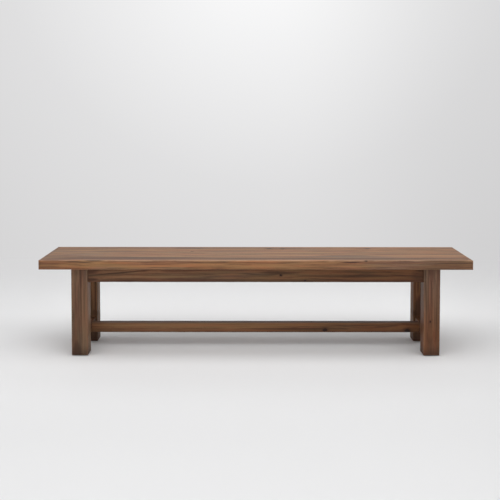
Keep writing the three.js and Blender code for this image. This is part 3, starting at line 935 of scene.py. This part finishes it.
LEG_TIMBERS = (
    Timber(
        "leg_front_left", Z, (0.06, -0.05), 0.009, 0.5, (0.92, 0.95, 0.93), (1.04, 1.05, 1.1),
        (),
        {
            (Y, -0.038): (
                (-0.2, -0.014, 0.09, 0.025, 0.75), (-0.13, -0.026, 0.09, 0.01, 0.45),
                (-0.06, -0.012, 0.16, 0.022, 0.35), (-0.05, 0.0105, 0.16, 0.003, 0.45),
                (0.0, 0.0155, 0.26, 0.003, -0.9), (0.0, 0.0335, 0.3, 0.005, -0.7),
                (0.03, 0.0065, 0.3, 0.0034, 0.4), (0.04, 0.0235, 0.12, 0.003, 0.35, 0.01),
                (0.05, -0.006, 0.1, 0.004, 0.4),
            ),
            # The pale lens over the whole inner face is painted light, as if the face were lit from the
            # right.
            (X, 0.046): (
                (-0.1, 0.0, 0.34, 0.055, -1.0),
            ),
        },
    ),
    Timber(
        "leg_front_right", Z, (0.09, 0.04), 0.01, 0.35, (1.02, 0.8, 0.59), (1.03, 1.07, 1.18),
        (((-0.0072, -0.0375, -0.045), 0.0052),),
        {
            (Y, -0.038): (
                (-0.12, -0.034, 0.14, 0.004, -0.5), (0.0, -0.026, 0.2, 0.003, 0.35),
                (0.0, 0.024, 0.3, 0.003, 0.5), (0.06, 0.01, 0.12, 0.005, -0.5),
                (0.1, -0.012, 0.1, 0.006, -0.5), (0.14, -0.033, 0.13, 0.005, 0.45),
            ),
        },
    ),
    Timber(
        "leg_back_left", Z, (-0.05, 0.07), 0.009, 0.7, (0.86, 0.79, 0.62), (1.03, 0.97, 0.74),
        (),
        {
            (Y, -0.038): (
                # (-0.064) and (-0.03) below are painted shadow on the front face, just above the end
                # stretcher.
                (-0.17, 0.0, 0.07, 0.05, 0.6), (-0.064, 0.01, 0.022, 0.05, 0.5),
                (-0.03, 0.004, 0.1, 0.014, 0.5), (0.0, 0.028, 0.3, 0.0035, 0.6),
                (0.06, 0.014, 0.2, 0.005, -0.7),
            ),
            # The pale lens over the whole inner face is painted light, as if the face were lit from the
            # right.
            (X, 0.038): (
                (0.0, 0.0, 0.4, 0.036, -0.9),
            ),
        },
    ),
    Timber(
        "leg_back_right", Z, (-0.08, -0.03), 0.011, 0.7, (1.0, 0.84, 0.58), (1.18, 1.02, 0.7),
        (),
        {
            (Y, -0.038): (
                # (-0.062) and (-0.03) below are painted shadow on the front face, just above the end
                # stretcher.
                (-0.18, 0.0, 0.05, 0.05, 0.4), (-0.062, -0.01, 0.024, 0.05, 0.65),
                (-0.03, -0.008, 0.07, 0.022, 0.75), (0.06, -0.03, 0.2, 0.004, 0.5),
                (0.06, -0.014, 0.2, 0.006, -0.3), (0.07, -0.015, 0.05, 0.009, 0.4),
            ),
        },
    ),
)
APRON_TIMBERS = (
    Timber(
        "apron_front", X, (0.09, 0.02), 0.01, 0.5, (1.22, 1.19, 1.07), (0.85, 0.73, 0.51),
        (((0.117, -0.012, -0.0005), 0.007), ((0.23, -0.012, -0.026), 0.007)),
        {
            (Y, -0.012): (
                # These two are painted shade at the apron's left end, beside the leg.
                (-0.775, 0.022, 0.055, 0.02, 0.7), (-0.77, -0.022, 0.05, 0.009, 0.8),
                (-0.62, 0.0119, 0.23, 0.0036, 0.8, 0.094), (-0.5, -0.008, 0.3, 0.0075, -0.9),
                (-0.5, 0.012, 0.12, 0.005, -0.5, 0.02), (-0.45, 0.026, 0.1, 0.004, 0.5, 0.03),
                (-0.13, -0.012, 0.09, 0.006, -0.5), (-0.12, 0.003, 0.09, 0.006, -0.8),
                (-0.1, 0.014, 0.25, 0.007, -0.6), (0.0, -0.0275, 1.4, 0.0112, 0.55),
                (0.0, 0.016, 0.08, 0.009, -0.8), (0.06, -0.014, 0.13, 0.006, -0.7),
                # (0.1, 0.034) is painted shade along the apron's top, under the seat.
                (0.1, 0.011, 0.1, 0.0085, 0.6, -0.02), (0.1, 0.034, 1.0, 0.005, 0.35),
                (0.16, -0.004, 0.06, 0.006, -0.7), (0.25, 0.012, 0.05, 0.012, -0.6),
                (0.48, -0.004, 0.16, 0.0034, 0.5), (0.48, 0.014, 0.16, 0.005, 0.4),
                (0.6, -0.012, 0.14, 0.005, -0.7), (0.6, 0.015, 0.05, 0.005, 0.4),
                # (0.77, 0.0) is painted shade at the apron's right end, beside the leg.
                (0.64, 0.006, 0.12, 0.005, -0.6), (0.77, 0.0, 0.05, 0.05, 0.4),
            ),
        },
    ),
    Timber("apron_back", X, (-0.07, -0.05), 0.01, 0.8, (1.1, 1.0, 0.9), (1.1, 1.0, 0.9)),
    Timber("apron_left", Y, (0.08, 0.03), 0.009, 0.8, (1.1, 1.0, 0.9), (1.1, 1.0, 0.9)),
    Timber("apron_right", Y, (-0.07, 0.05), 0.01, 0.8, (1.0, 0.9, 0.8), (1.0, 0.9, 0.8)),
)
STRETCHER_TIMBERS = (
    Timber("end_stretcher_left", Y, (0.05, 0.06), 0.008, 0.7, (1.1, 0.98, 0.8), (1.1, 0.98, 0.8)),
    Timber("end_stretcher_right", Y, (-0.06, 0.05), 0.009, 0.7, (1.0, 0.88, 0.7), (1.0, 0.88, 0.7)),
    Timber(
        "long_stretcher", X, (0.06, -0.05), 0.009, 0.4, (1.21, 1.17, 0.96), (0.84, 0.68, 0.46),
        (((0.335, -0.022, -0.011), 0.0135), ((0.732, -0.022, -0.0155), 0.017)),
        {
            (Y, -0.022): (
                (-0.4, 0.01, 0.5, 0.0075, -0.75), (-0.25, -0.006, 0.2, 0.003, 0.3),
                (0.0, -0.0215, 1.4, 0.008, 0.45), (0.05, 0.018, 0.7, 0.0055, -0.7),
                (0.1, 0.011, 0.3, 0.006, -0.9), (0.15, -0.006, 0.3, 0.005, 0.65),
                (0.42, 0.008, 0.2, 0.004, 0.3, 0.02), (0.71, 0.003, 0.03, 0.014, -1.0),
            ),
            # The dark band along the top face is painted shade under the seat.
            (Z, 0.0245): (
                (0.0, 0.012, 1.4, 0.022, 0.6),
            ),
        },
    ),
)


# The wood of the bearers and buttons: the width of its rings, how strongly they show, and how far from the
# middle the pith lies, as bounds one way across and a spread the other way
BEARER_WOOD = (0.009, 0.8, (0.04, 0.09), 0.09)
BUTTON_WOOD = (0.006, 0.8, (0.03, 0.07), 0.06)


def hidden_timber(node, axis, ring, figure, bounds, spread):
    """Plain wood with a random pith, for a piece under the seat."""
    rng = random.Random(f"{SEED} {node}")
    pith = (rng.uniform(*bounds), rng.uniform(-spread, spread))
    return Timber(node, axis, pith, ring, figure, PLAIN, PLAIN)


def nodes_like(word):
    return [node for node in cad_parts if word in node]


def inner_face(node, across):
    """Where the inner face of an apron lies, and the sign of the way out from there."""
    low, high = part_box(node)
    return (high[across], -1) if abs(low[across]) > abs(high[across]) else (low[across], 1)


def apron_section(node, along):
    """The section of an apron's tenons, as a span for each axis across them."""
    joinery = bpy.context.scene.bench_joinery
    low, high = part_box(node)
    across = X + Y - along
    middle, half = (low[across] + high[across]) / 2, joinery.apron_tenon / 2
    levels = (low[Z] + joinery.tenon_foot_shoulder, high[Z] - joinery.tenon_top_shoulder)
    return {across: (middle - half, middle + half), Z: levels}


def stretcher_section(node):
    """The section of a stretcher's tenons: upright on the end stretchers, flat on the long one."""
    joinery = bpy.context.scene.bench_joinery
    low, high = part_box(node)
    if node == "long_stretcher":
        thin, wide, half, shoulder = Z, Y, joinery.long_tenon / 2, joinery.long_tenon_shoulder
    else:
        thin, wide, half, shoulder = X, Z, joinery.end_tenon / 2, joinery.end_tenon_shoulder
    middle = (low[thin] + high[thin]) / 2
    return {thin: (middle - half, middle + half), wide: (low[wide] + shoulder, high[wide] - shoulder)}


def bearer_section(low, high, foot):
    """The section of a bearer's stub tenons above a level."""
    joinery = bpy.context.scene.bench_joinery
    width = (low[X] + joinery.stub_shoulder, high[X] - joinery.stub_shoulder)
    return {X: width, Z: (foot, low[Z] + joinery.stub_height)}


class BENCH_OT_seat_boards(bpy.types.Operator):
    """Makes the four glued boards of the seat"""

    bl_idname = "bench.seat_boards"
    bl_label = "Seat Boards"

    def execute(self, context):
        joinery = context.scene.bench_joinery
        gap, head = joinery.joint_gap, joinery.screw_head
        boxes = [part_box(timber.node) for timber in SEAT_TIMBERS]
        seat_low = Vector(map(min, *[low for low, _ in boxes]))
        seat_high = Vector(map(max, *[high for _, high in boxes]))
        for timber, (low, high) in zip(SEAT_TIMBERS, boxes):
            edges = sides_of([low], seat_low, seat_high) | sides_of([high], seat_low, seat_high)
            glued = [(Y, side) for side in ENDS if (Y, side) not in edges]
            board = settle(f"{timber.node}_timber", low, high)
            open_up(board)
            for axis in (Y, Z):
                slice_evenly(axis, low[axis], high[axis], joinery.seat_corner)
            upright = [((X, end), (Y, side)) for end in ENDS for side in ENDS if (Y, side) not in glued]
            if upright:
                round_arrises(board, low, high, upright, joinery.seat_corner)
            for level, radius in ((1, joinery.seat_top_arris), (-1, joinery.seat_under_arris)):
                round_rim(board, low, high, level, radius, glued)
                seams = [((Z, level), side) for side in glued]
                round_arrises(board, low, high, seams, joinery.glue_line, 1)
            cut_lengthwise(board, X, LONG_EDGE)
            close_up()
            for node in nodes_like("screw"):
                foot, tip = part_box(node)
                if low[Y] - head < (foot[Y] + tip[Y]) / 2 < high[Y] + head:
                    drill(board, node, low[Z] - OVERRUN, tip[Z] + gap, joinery.screw_shank + gap)
            work_faces(board, seat_low, seat_high, joinery.seat_top_arris * ON_ARRIS)
            finish_timber(board, timber, "seat_wood", seat_low, seat_high)
        return {"FINISHED"}


class BENCH_OT_legs(bpy.types.Operator):
    """Makes one leg with its mortises and copies it to the other corners"""

    bl_idname = "bench.legs"
    bl_label = "Legs"

    def execute(self, context):
        joinery = context.scene.bench_joinery
        low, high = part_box("leg_front_left")
        leg = settle("leg", low, high)
        open_up(leg)
        for axis in (X, Y):
            slice_evenly(axis, low[axis], high[axis], joinery.leg_arris * OFF_ARRIS)
        round_arrises(leg, low, high, pairs_along(Z), joinery.leg_arris)
        round_rim(leg, low, high, -1, joinery.foot_arris)
        cut_lengthwise(leg, Z, LONG_EDGE)
        close_up()
        self.chop_mortises(leg, high, joinery)
        nail_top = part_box("glide_front_left")[1][Z] + joinery.joint_gap
        nail_room = joinery.nail_radius + joinery.joint_gap
        drill(leg, "glide_front_left", low[Z] - OVERRUN, nail_top, nail_room)
        for timber in LEG_TIMBERS:
            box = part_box(timber.node)
            flips = [-1.0 if box[0][axis] > 0 else 1.0 for axis in (X, Y)]
            twin = copy_of(leg, f"{timber.node}_timber", scale=(*flips, 1.0))
            work_faces(twin, *box, joinery.leg_arris * ON_ARRIS, [(Z, 1)])
            finish_timber(twin, timber, "frame_wood", *box)
        discard(leg)
        return {"FINISHED"}

    def chop_mortises(self, leg, high, joinery):
        """Chops the mortises of the two aprons, which meet inside the leg, and of the stretcher."""
        gap = joinery.joint_gap
        for node, along in (("apron_front", X), ("apron_left", Y)):
            section = apron_section(node, along)
            rail_low, rail_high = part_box(node)
            mouth = high[along] + OVERRUN
            chop(leg, {**section, along: (rail_low[along], mouth)}, gap)
            root = high[along] + gap - joinery.haunch
            chop(leg, {**section, along: (root, mouth), Z: (section[Z][1] - OVERRUN, rail_high[Z])}, gap)
        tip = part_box("end_stretcher_left")[0][Y]
        chop(leg, {**stretcher_section("end_stretcher_left"), Y: (tip, high[Y] + OVERRUN)}, gap)


class BENCH_OT_aprons(bpy.types.Operator):
    """Makes the four aprons with haunched and mitred tenons and a groove for the buttons"""

    bl_idname = "bench.aprons"
    bl_label = "Aprons"

    def execute(self, context):
        joinery, surface = context.scene.bench_joinery, context.scene.bench_surface
        for timber in APRON_TIMBERS:
            along = timber.axis
            across = X + Y - along
            low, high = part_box(timber.node)
            tip = high[along]
            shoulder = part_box("leg_back_right")[0][along] - joinery.joint_gap
            low[along], high[along] = -shoulder, shoulder
            section = apron_section(timber.node, along)
            apron = settle(f"{timber.node}_timber", low, high)
            open_up(apron)
            scribe(section)
            slice_evenly(Z, *section[Z], surface.cut_across)
            foot_edges = [((Z, -1), (across, side)) for side in ENDS]
            round_arrises(apron, low, high, foot_edges, joinery.apron_arris)
            for end in ENDS:
                self.draw_mitred(apron, along, across, end, shoulder, tip, section)
            cut_lengthwise(apron, along, RAIL_EDGE)
            close_up()
            inner, out = inner_face(timber.node, across)
            groove_top = high[Z] - joinery.groove_drop
            groove_end = shoulder - joinery.groove_stop
            groove = {
                along: (-groove_end, groove_end),
                across: (inner - out * OVERRUN, inner + out * joinery.groove_depth),
                Z: (groove_top - joinery.groove_height, groove_top),
            }
            chop(apron, groove)
            for node in nodes_like("seat_bearer") if along == X else ():
                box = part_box(node)
                mortise = {**bearer_section(*box, box[0][Z]), Y: (inner - out * OVERRUN, box[out > 0][Y])}
                chop(apron, mortise, joinery.joint_gap)
            still = [(Z, 1)] + [(along, end) for end in ENDS]
            work_faces(apron, low, high, joinery.apron_arris * ON_ARRIS, still)
            finish_timber(apron, timber, "frame_wood", low, high)
        return {"FINISHED"}

    def draw_mitred(self, apron, along, across, end, shoulder, tip, section):
        """Draws haunch and tenon out of an end, and cuts the tenon's tip to its mitre."""
        haunch = bpy.context.scene.bench_joinery.haunch
        above = {**section, Z: (section[Z][0], math.inf)}
        draw_tenon(apron, along, end, end * shoulder, haunch, above)
        draw_tenon(apron, along, end, end * (shoulder + haunch), tip - shoulder - haunch, section)
        outer = max(section[across], key=abs)
        mesh = bmesh.from_edit_mesh(apron.data)
        for vert in mesh.verts:
            if abs(vert.co[along] - end * tip) < ON_PLANE:
                vert.co[along] -= end * abs(outer - vert.co[across])
        bmesh.update_edit_mesh(apron.data)


class BENCH_OT_stretchers(bpy.types.Operator):
    """Makes the H of stretchers near the floor, tenoned into the legs and into each other"""

    bl_idname = "bench.stretchers"
    bl_label = "Stretchers"

    def execute(self, context):
        joinery = context.scene.bench_joinery
        arris = joinery.stretcher_arris
        for timber in STRETCHER_TIMBERS:
            along = timber.axis
            low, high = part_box(timber.node)
            reach = joinery.end_tenon_length if along == Y else joinery.long_tenon_length
            low[along] += reach
            high[along] -= reach
            name, section = f"{timber.node}_timber", stretcher_section(timber.node)
            rail = tenoned_rail(name, low, high, along, section, reach, pairs_along(along), arris)
            if along == Y:
                end = 1 if low[X] > 0 else -1
                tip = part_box("long_stretcher")[1][X]
                span = (end * tip, end * (tip - joinery.long_tenon_length - OVERRUN))
                chop(rail, {**stretcher_section("long_stretcher"), X: span}, joinery.joint_gap)
            work_faces(rail, low, high, arris * ON_ARRIS, [(along, end) for end in ENDS])
            finish_timber(rail, timber, "frame_wood", low, high)
        return {"FINISHED"}


class BENCH_OT_bearers(bpy.types.Operator):
    """Makes one bearer with its stubs and screw wells and copies it to the others"""

    bl_idname = "bench.bearers"
    bl_label = "Bearers"

    def execute(self, context):
        joinery = context.scene.bench_joinery
        # The middle one comes first, and the others are moved copies of it
        nodes = nodes_like("seat_bearer")
        nodes.insert(0, nodes.pop(len(nodes) // 2))
        box_low, box_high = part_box(nodes[0])
        low, high = box_low.copy(), box_high.copy()
        low[Y] += joinery.stub_length
        high[Y] -= joinery.stub_length
        section = bearer_section(low, high, -math.inf)
        foot_edges = [((Z, -1), (X, side)) for side in ENDS]
        reach, arris = joinery.stub_length, joinery.hidden_arris
        bearer = tenoned_rail("bearer", low, high, Y, section, reach, foot_edges, arris)
        for node in nodes_like("bearer_screw"):
            head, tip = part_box(node)
            if low[X] < (head[X] + tip[X]) / 2 < high[X]:
                drill(bearer, node, low[Z] - OVERRUN, head[Z], joinery.counterbore_radius, sides=WELL_SIDES)
                screw_hole(bearer, node, high[Z])
        for node in nodes:
            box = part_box(node)
            twin = copy_of(bearer, f"{node}_timber", location=box[0] - box_low)
            work_faces(twin, *box, arris * ON_ARRIS, [(Z, 1), (Y, -1), (Y, 1)], BEARER_DEPTH)
            finish_timber(twin, hidden_timber(node, Y, *BEARER_WOOD), "hidden_wood", *box)
        discard(bearer)
        return {"FINISHED"}


class BENCH_OT_buttons(bpy.types.Operator):
    """Makes one button with its tongue and screw hole and copies it to the others"""

    bl_idname = "bench.buttons"
    bl_label = "Seat Buttons"

    def execute(self, context):
        joinery = context.scene.bench_joinery
        # The first button hooks into the front apron: its tongue points to -Y
        nodes = nodes_like("seat_button")
        low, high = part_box(nodes[0])
        low[Y] = inner_face("apron_front", Y)[0] + joinery.button_play
        groove_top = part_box("apron_front")[1][Z] - joinery.groove_drop
        groove_foot = groove_top - joinery.groove_height
        tongue = {Z: (groove_foot + joinery.joint_gap, groove_top - joinery.joint_gap)}
        button = settle("button", low, high)
        open_up(button)
        round_arrises(button, low, high, pairs_along(Z), joinery.hidden_arris)
        round_rim(button, low, high, -1, joinery.hidden_arris)
        scribe(tongue)
        draw_tenon(button, Y, -1, low[Y], joinery.button_play + joinery.tongue_length, tongue)
        close_up()
        screw_hole(button, "button_screw_1", high[Z])
        centre = self.screw_place("button_screw_1")
        face = inner_face("apron_right", X)[0]
        for node in nodes:
            there = self.screw_place(node.replace("seat_button", "button_screw"))
            axis, heading = Y, 0.0 if there[Y] < 0 else math.pi
            if abs(there[Y]) < ON_PLANE and abs(there[X]) > face / 2:
                axis, heading = X, math.copysign(math.pi / 2, there[X])
            turn = Euler((0.0, 0.0, heading))
            place = there - turn.to_matrix() @ centre
            twin = copy_of(button, f"{node}_timber", rotation_euler=turn, location=place)
            finish_timber(twin, hidden_timber(node, axis, *BUTTON_WOOD), "hidden_wood", *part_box(node))
        discard(button)
        return {"FINISHED"}

    def screw_place(self, node):
        """Where a screw stands, seen from above."""
        low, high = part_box(node)
        return Vector((*((low + high) / 2).xy, 0.0))


# The fixings: the word in their nodes' names, the colours of their surface and its patches, how metallic and
# how rough they are, the patches to the metre, and the strength and depth of their bumps
FIXINGS = (
    ("screw", "screw_zinc", "screw_tarnish", 1.0, 0.3, 700.0, (0.4, 0.00002)),
    ("glide", "glide_nylon", "glide_scuff", 0.0, 0.45, 260.0, (0.4, 0.00005)),
)
PATCH_ROUGHNESS = 0.2


class BENCH_OT_fixings(bpy.types.Operator):
    """Gives the screws their plating and the glides their nylon"""

    bl_idname = "bench.fixings"
    bl_label = "Screws and Glides"

    def execute(self, context):
        finish = context.scene.bench_finish
        for word, name, worn, metallic, roughness, scale, bump in FIXINGS:
            material = bpy.data.materials.new(name)
            tree = empty_tree(material)
            place = add(tree, "TexCoord", {})["Object"]
            patches = fixing_patches(tree, {"Vector": place, "Scale": scale})
            dull = patches["Dull"]
            colour = dull.mix((*getattr(finish, name), 1.0), (*getattr(finish, worn), 1.0))
            roughness = dull * PATCH_ROUGHNESS + roughness
            coat(tree, colour, roughness, patches["Height"], bump, Metallic=metallic)
            for node in nodes_like(word):
                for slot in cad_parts[node].material_slots:
                    slot.material = material
        return {"FINISHED"}


class BENCH_OT_stage(bpy.types.Operator):
    """Lays the floor, hangs the backdrop and sets the lamps and the camera"""

    bl_idname = "bench.stage"
    bl_label = "Studio"

    def execute(self, context):
        studio = context.scene.bench_studio
        self.sweep(studio)
        self.lamp(context, studio)
        self.room(context, studio)
        self.camera(context, studio)
        context.scene.view_settings.view_transform = "Standard"
        return {"FINISHED"}

    def sweep(self, studio):
        """One pale sheet: the floor, a cove and the backdrop."""
        back, front = studio.backdrop_distance, studio.floor_front
        bpy.ops.object.select_all(action="DESELECT")
        bpy.ops.mesh.primitive_plane_add(size=1.0, location=(0.0, (back - front) / 2, 0.0))
        sheet = claim("studio_sheet", scale=(2 * studio.backdrop_half_width, front + back, 1.0))
        open_up(sheet)

        def at_back(edge, height=math.inf):
            return all(abs(vert.co[Y] - back) < ON_PLANE and vert.co[Z] < height for vert in edge.verts)

        pick(sheet, "EDGE", at_back)
        rise = towards(Z, studio.backdrop_height)
        bpy.ops.mesh.extrude_region_move(TRANSFORM_OT_translate={"value": rise})
        pick(sheet, "EDGE", lambda edge: at_back(edge, ON_PLANE))
        bpy.ops.mesh.bevel(offset=studio.cove_radius, segments=COVE_FACETS, affect="EDGES")
        face_outwards()
        mesh = bmesh.from_edit_mesh(sheet.data)
        mesh.normal_update()
        if min(mesh.faces, key=lambda face: face.calc_center_median()[Z]).normal[Z] < 0:
            bpy.ops.mesh.flip_normals()
        close_up()
        pick_up(sheet)
        bpy.ops.object.shade_smooth()
        sheet.data.materials.append(self.paper(studio))

    def paper(self, studio):
        """Pale paper. The backdrop shows its own glow to the camera and in gloss, the floor keeps shadows.

        It is unseen from below and behind, so that the bench can be looked at from there.
        """
        material = bpy.data.materials.new("studio_paper")
        tree = empty_tree(material)
        place = add(tree, "TexCoord", {})["Object"]
        across, along = place.part(X), place.part(Y)
        tone = studio.floor_tone
        plain = (tone, tone, tone * 1.006, 1.0)
        shaded = (tone * 0.92, tone * 0.92, tone * 0.925, 1.0)
        painted_lit = (tone * 1.13, tone * 1.13, tone * 1.135, 1.0)
        # Painted shade and light on the floor: it is painted duller to the right and before the bench, and
        # paler behind it; it is also duller in soft clouds
        clouds = place.noise(1.4, 1.4, 3.0).ramp(0.3, 0.7, 0.0, 0.3)
        painted_lit_share = across.work("ABSOLUTE").ramp(0.9, 1.5, 1.0, 0.5) * along.ramp(0.25, 0.75)
        colour = painted_lit_share.mix((across.ramp(0.1, 1.6) * 0.8 + clouds * 0.3).mix(plain, shaded), painted_lit)
        colour = colour * along.ramp(-0.6, -1.2, 1.0, 0.945)
        inputs = {"Base Color": colour, "Roughness": 0.8, "Specular IOR Level": 0.1}
        floor = add(tree, "BsdfPrincipled", inputs)[0]
        # The glow is brightest high up behind the bench and falls off from there
        away = ((place - (0.1, studio.backdrop_distance, 2.9)) * (1.0, 0.0, 1.0)).size()
        glow = add(tree, "ValToRGB", {"Fac": away / 4.0})["Color"]
        stops = glow.socket.node.color_ramp.elements
        stops[0].position, stops[1].position = 0.15, 0.95
        stops[0].color = (0.95, 0.95, 0.955, 1.0)
        stops[1].color = (0.665, 0.66, 0.665, 1.0)
        stops.new(0.6).color = (0.745, 0.742, 0.748, 1.0)
        wall = add(tree, "Emission", {"Color": glow, "Strength": across.ramp(0.2, 2.0, 1.0, 0.93)})[0]
        far = seen_rays(tree) * along.ramp(0.9, studio.backdrop_distance - studio.cove_radius)
        front = add(tree, "MixShader", {0: far, 1: floor, 2: wall})[0]
        behind = add(tree, "NewGeometry", {})["Backfacing"]
        unseen = add(tree, "BsdfTransparent", {})[0]
        both = add(tree, "MixShader", {0: behind, 1: front, 2: unseen})[0]
        add(tree, "OutputMaterial", {"Surface": both})
        return material

    def lamp(self, context, studio):
        """A wide softbox above and in front of the seat."""
        bpy.ops.object.select_all(action="DESELECT")
        place = (0.0, -studio.softbox_forward, studio.softbox_height)
        bpy.ops.object.light_add(type="AREA", location=place)
        softbox = context.active_object
        softbox.name = "softbox"
        softbox.data.shape = "RECTANGLE"
        softbox.data.size = studio.softbox_length
        softbox.data.size_y = studio.softbox_width
        softbox.data.energy = studio.softbox_power

    def room(self, context, studio):
        """The room's pale walls glow low down all round, with dark above them. In view it is plain grey."""
        context.scene.world = bpy.data.worlds.new("studio_room")
        tree = empty_tree(context.scene.world)
        rise = add(tree, "TexCoord", {})["Generated"].part(Z)
        strength = rise.ramp(0.3, 0.55, studio.room_low, studio.room_high)
        walls = add(tree, "Background", {"Color": (1.0, 1.0, 1.0, 1.0), "Strength": strength})[0]
        plain = add(tree, "Background", {"Color": (0.79, 0.79, 0.795, 1.0)})[0]
        both = add(tree, "MixShader", {0: seen_rays(tree), 1: walls, 2: plain})[0]
        add(tree, "OutputWorld", {"Surface": both})

    def camera(self, context, studio):
        bpy.ops.object.select_all(action="DESELECT")
        tilt = (math.pi / 2 - studio.camera_pitch, studio.camera_roll, 0.0)
        bpy.ops.object.camera_add(location=studio.camera_place, rotation=tilt)
        camera = context.active_object
        camera.name = "bench_camera"
        camera.data.lens = studio.lens
        camera.data.shift_y = studio.shift
        context.scene.camera = camera


OPERATORS = (
    BENCH_OT_seat_boards,
    BENCH_OT_legs,
    BENCH_OT_aprons,
    BENCH_OT_stretchers,
    BENCH_OT_bearers,
    BENCH_OT_buttons,
    BENCH_OT_fixings,
    BENCH_OT_stage,
)
SETTINGS = {
    "bench_joinery": BenchJoinery,
    "bench_surface": BenchSurface,
    "bench_finish": BenchFinish,
    "bench_studio": BenchStudio,
}


class BENCH_PT_panel(bpy.types.Panel):
    """Lists the bench's operators and settings"""

    bl_idname = "BENCH_PT_panel"
    bl_label = "Timber Bench"
    bl_space_type = "VIEW_3D"
    bl_region_type = "UI"
    bl_category = "Bench"

    def draw(self, context):
        layout = self.layout
        for operator in OPERATORS:
            layout.operator(operator.bl_idname)
        for name, group in SETTINGS.items():
            box = layout.box()
            box.label(text=group.__doc__)
            settings = getattr(context.scene, name)
            for field in group.__annotations__:
                box.prop(settings, field)


CLASSES = (*SETTINGS.values(), *OPERATORS, BENCH_PT_panel)


def register():
    for added in CLASSES:
        bpy.utils.register_class(added)
    for name, group in SETTINGS.items():
        setattr(bpy.types.Scene, name, bpy.props.PointerProperty(type=group))


def unregister():
    for name in SETTINGS:
        delattr(bpy.types.Scene, name)
    for added in reversed(CLASSES):
        bpy.utils.unregister_class(added)


def main():
    register()
    bpy.ops.bench.seat_boards()
    bpy.ops.bench.legs()
    bpy.ops.bench.aprons()
    bpy.ops.bench.stretchers()
    bpy.ops.bench.bearers()
    bpy.ops.bench.buttons()
    bpy.ops.bench.fixings()
    bpy.ops.bench.stage()


if __name__ == "__main__":
    main()
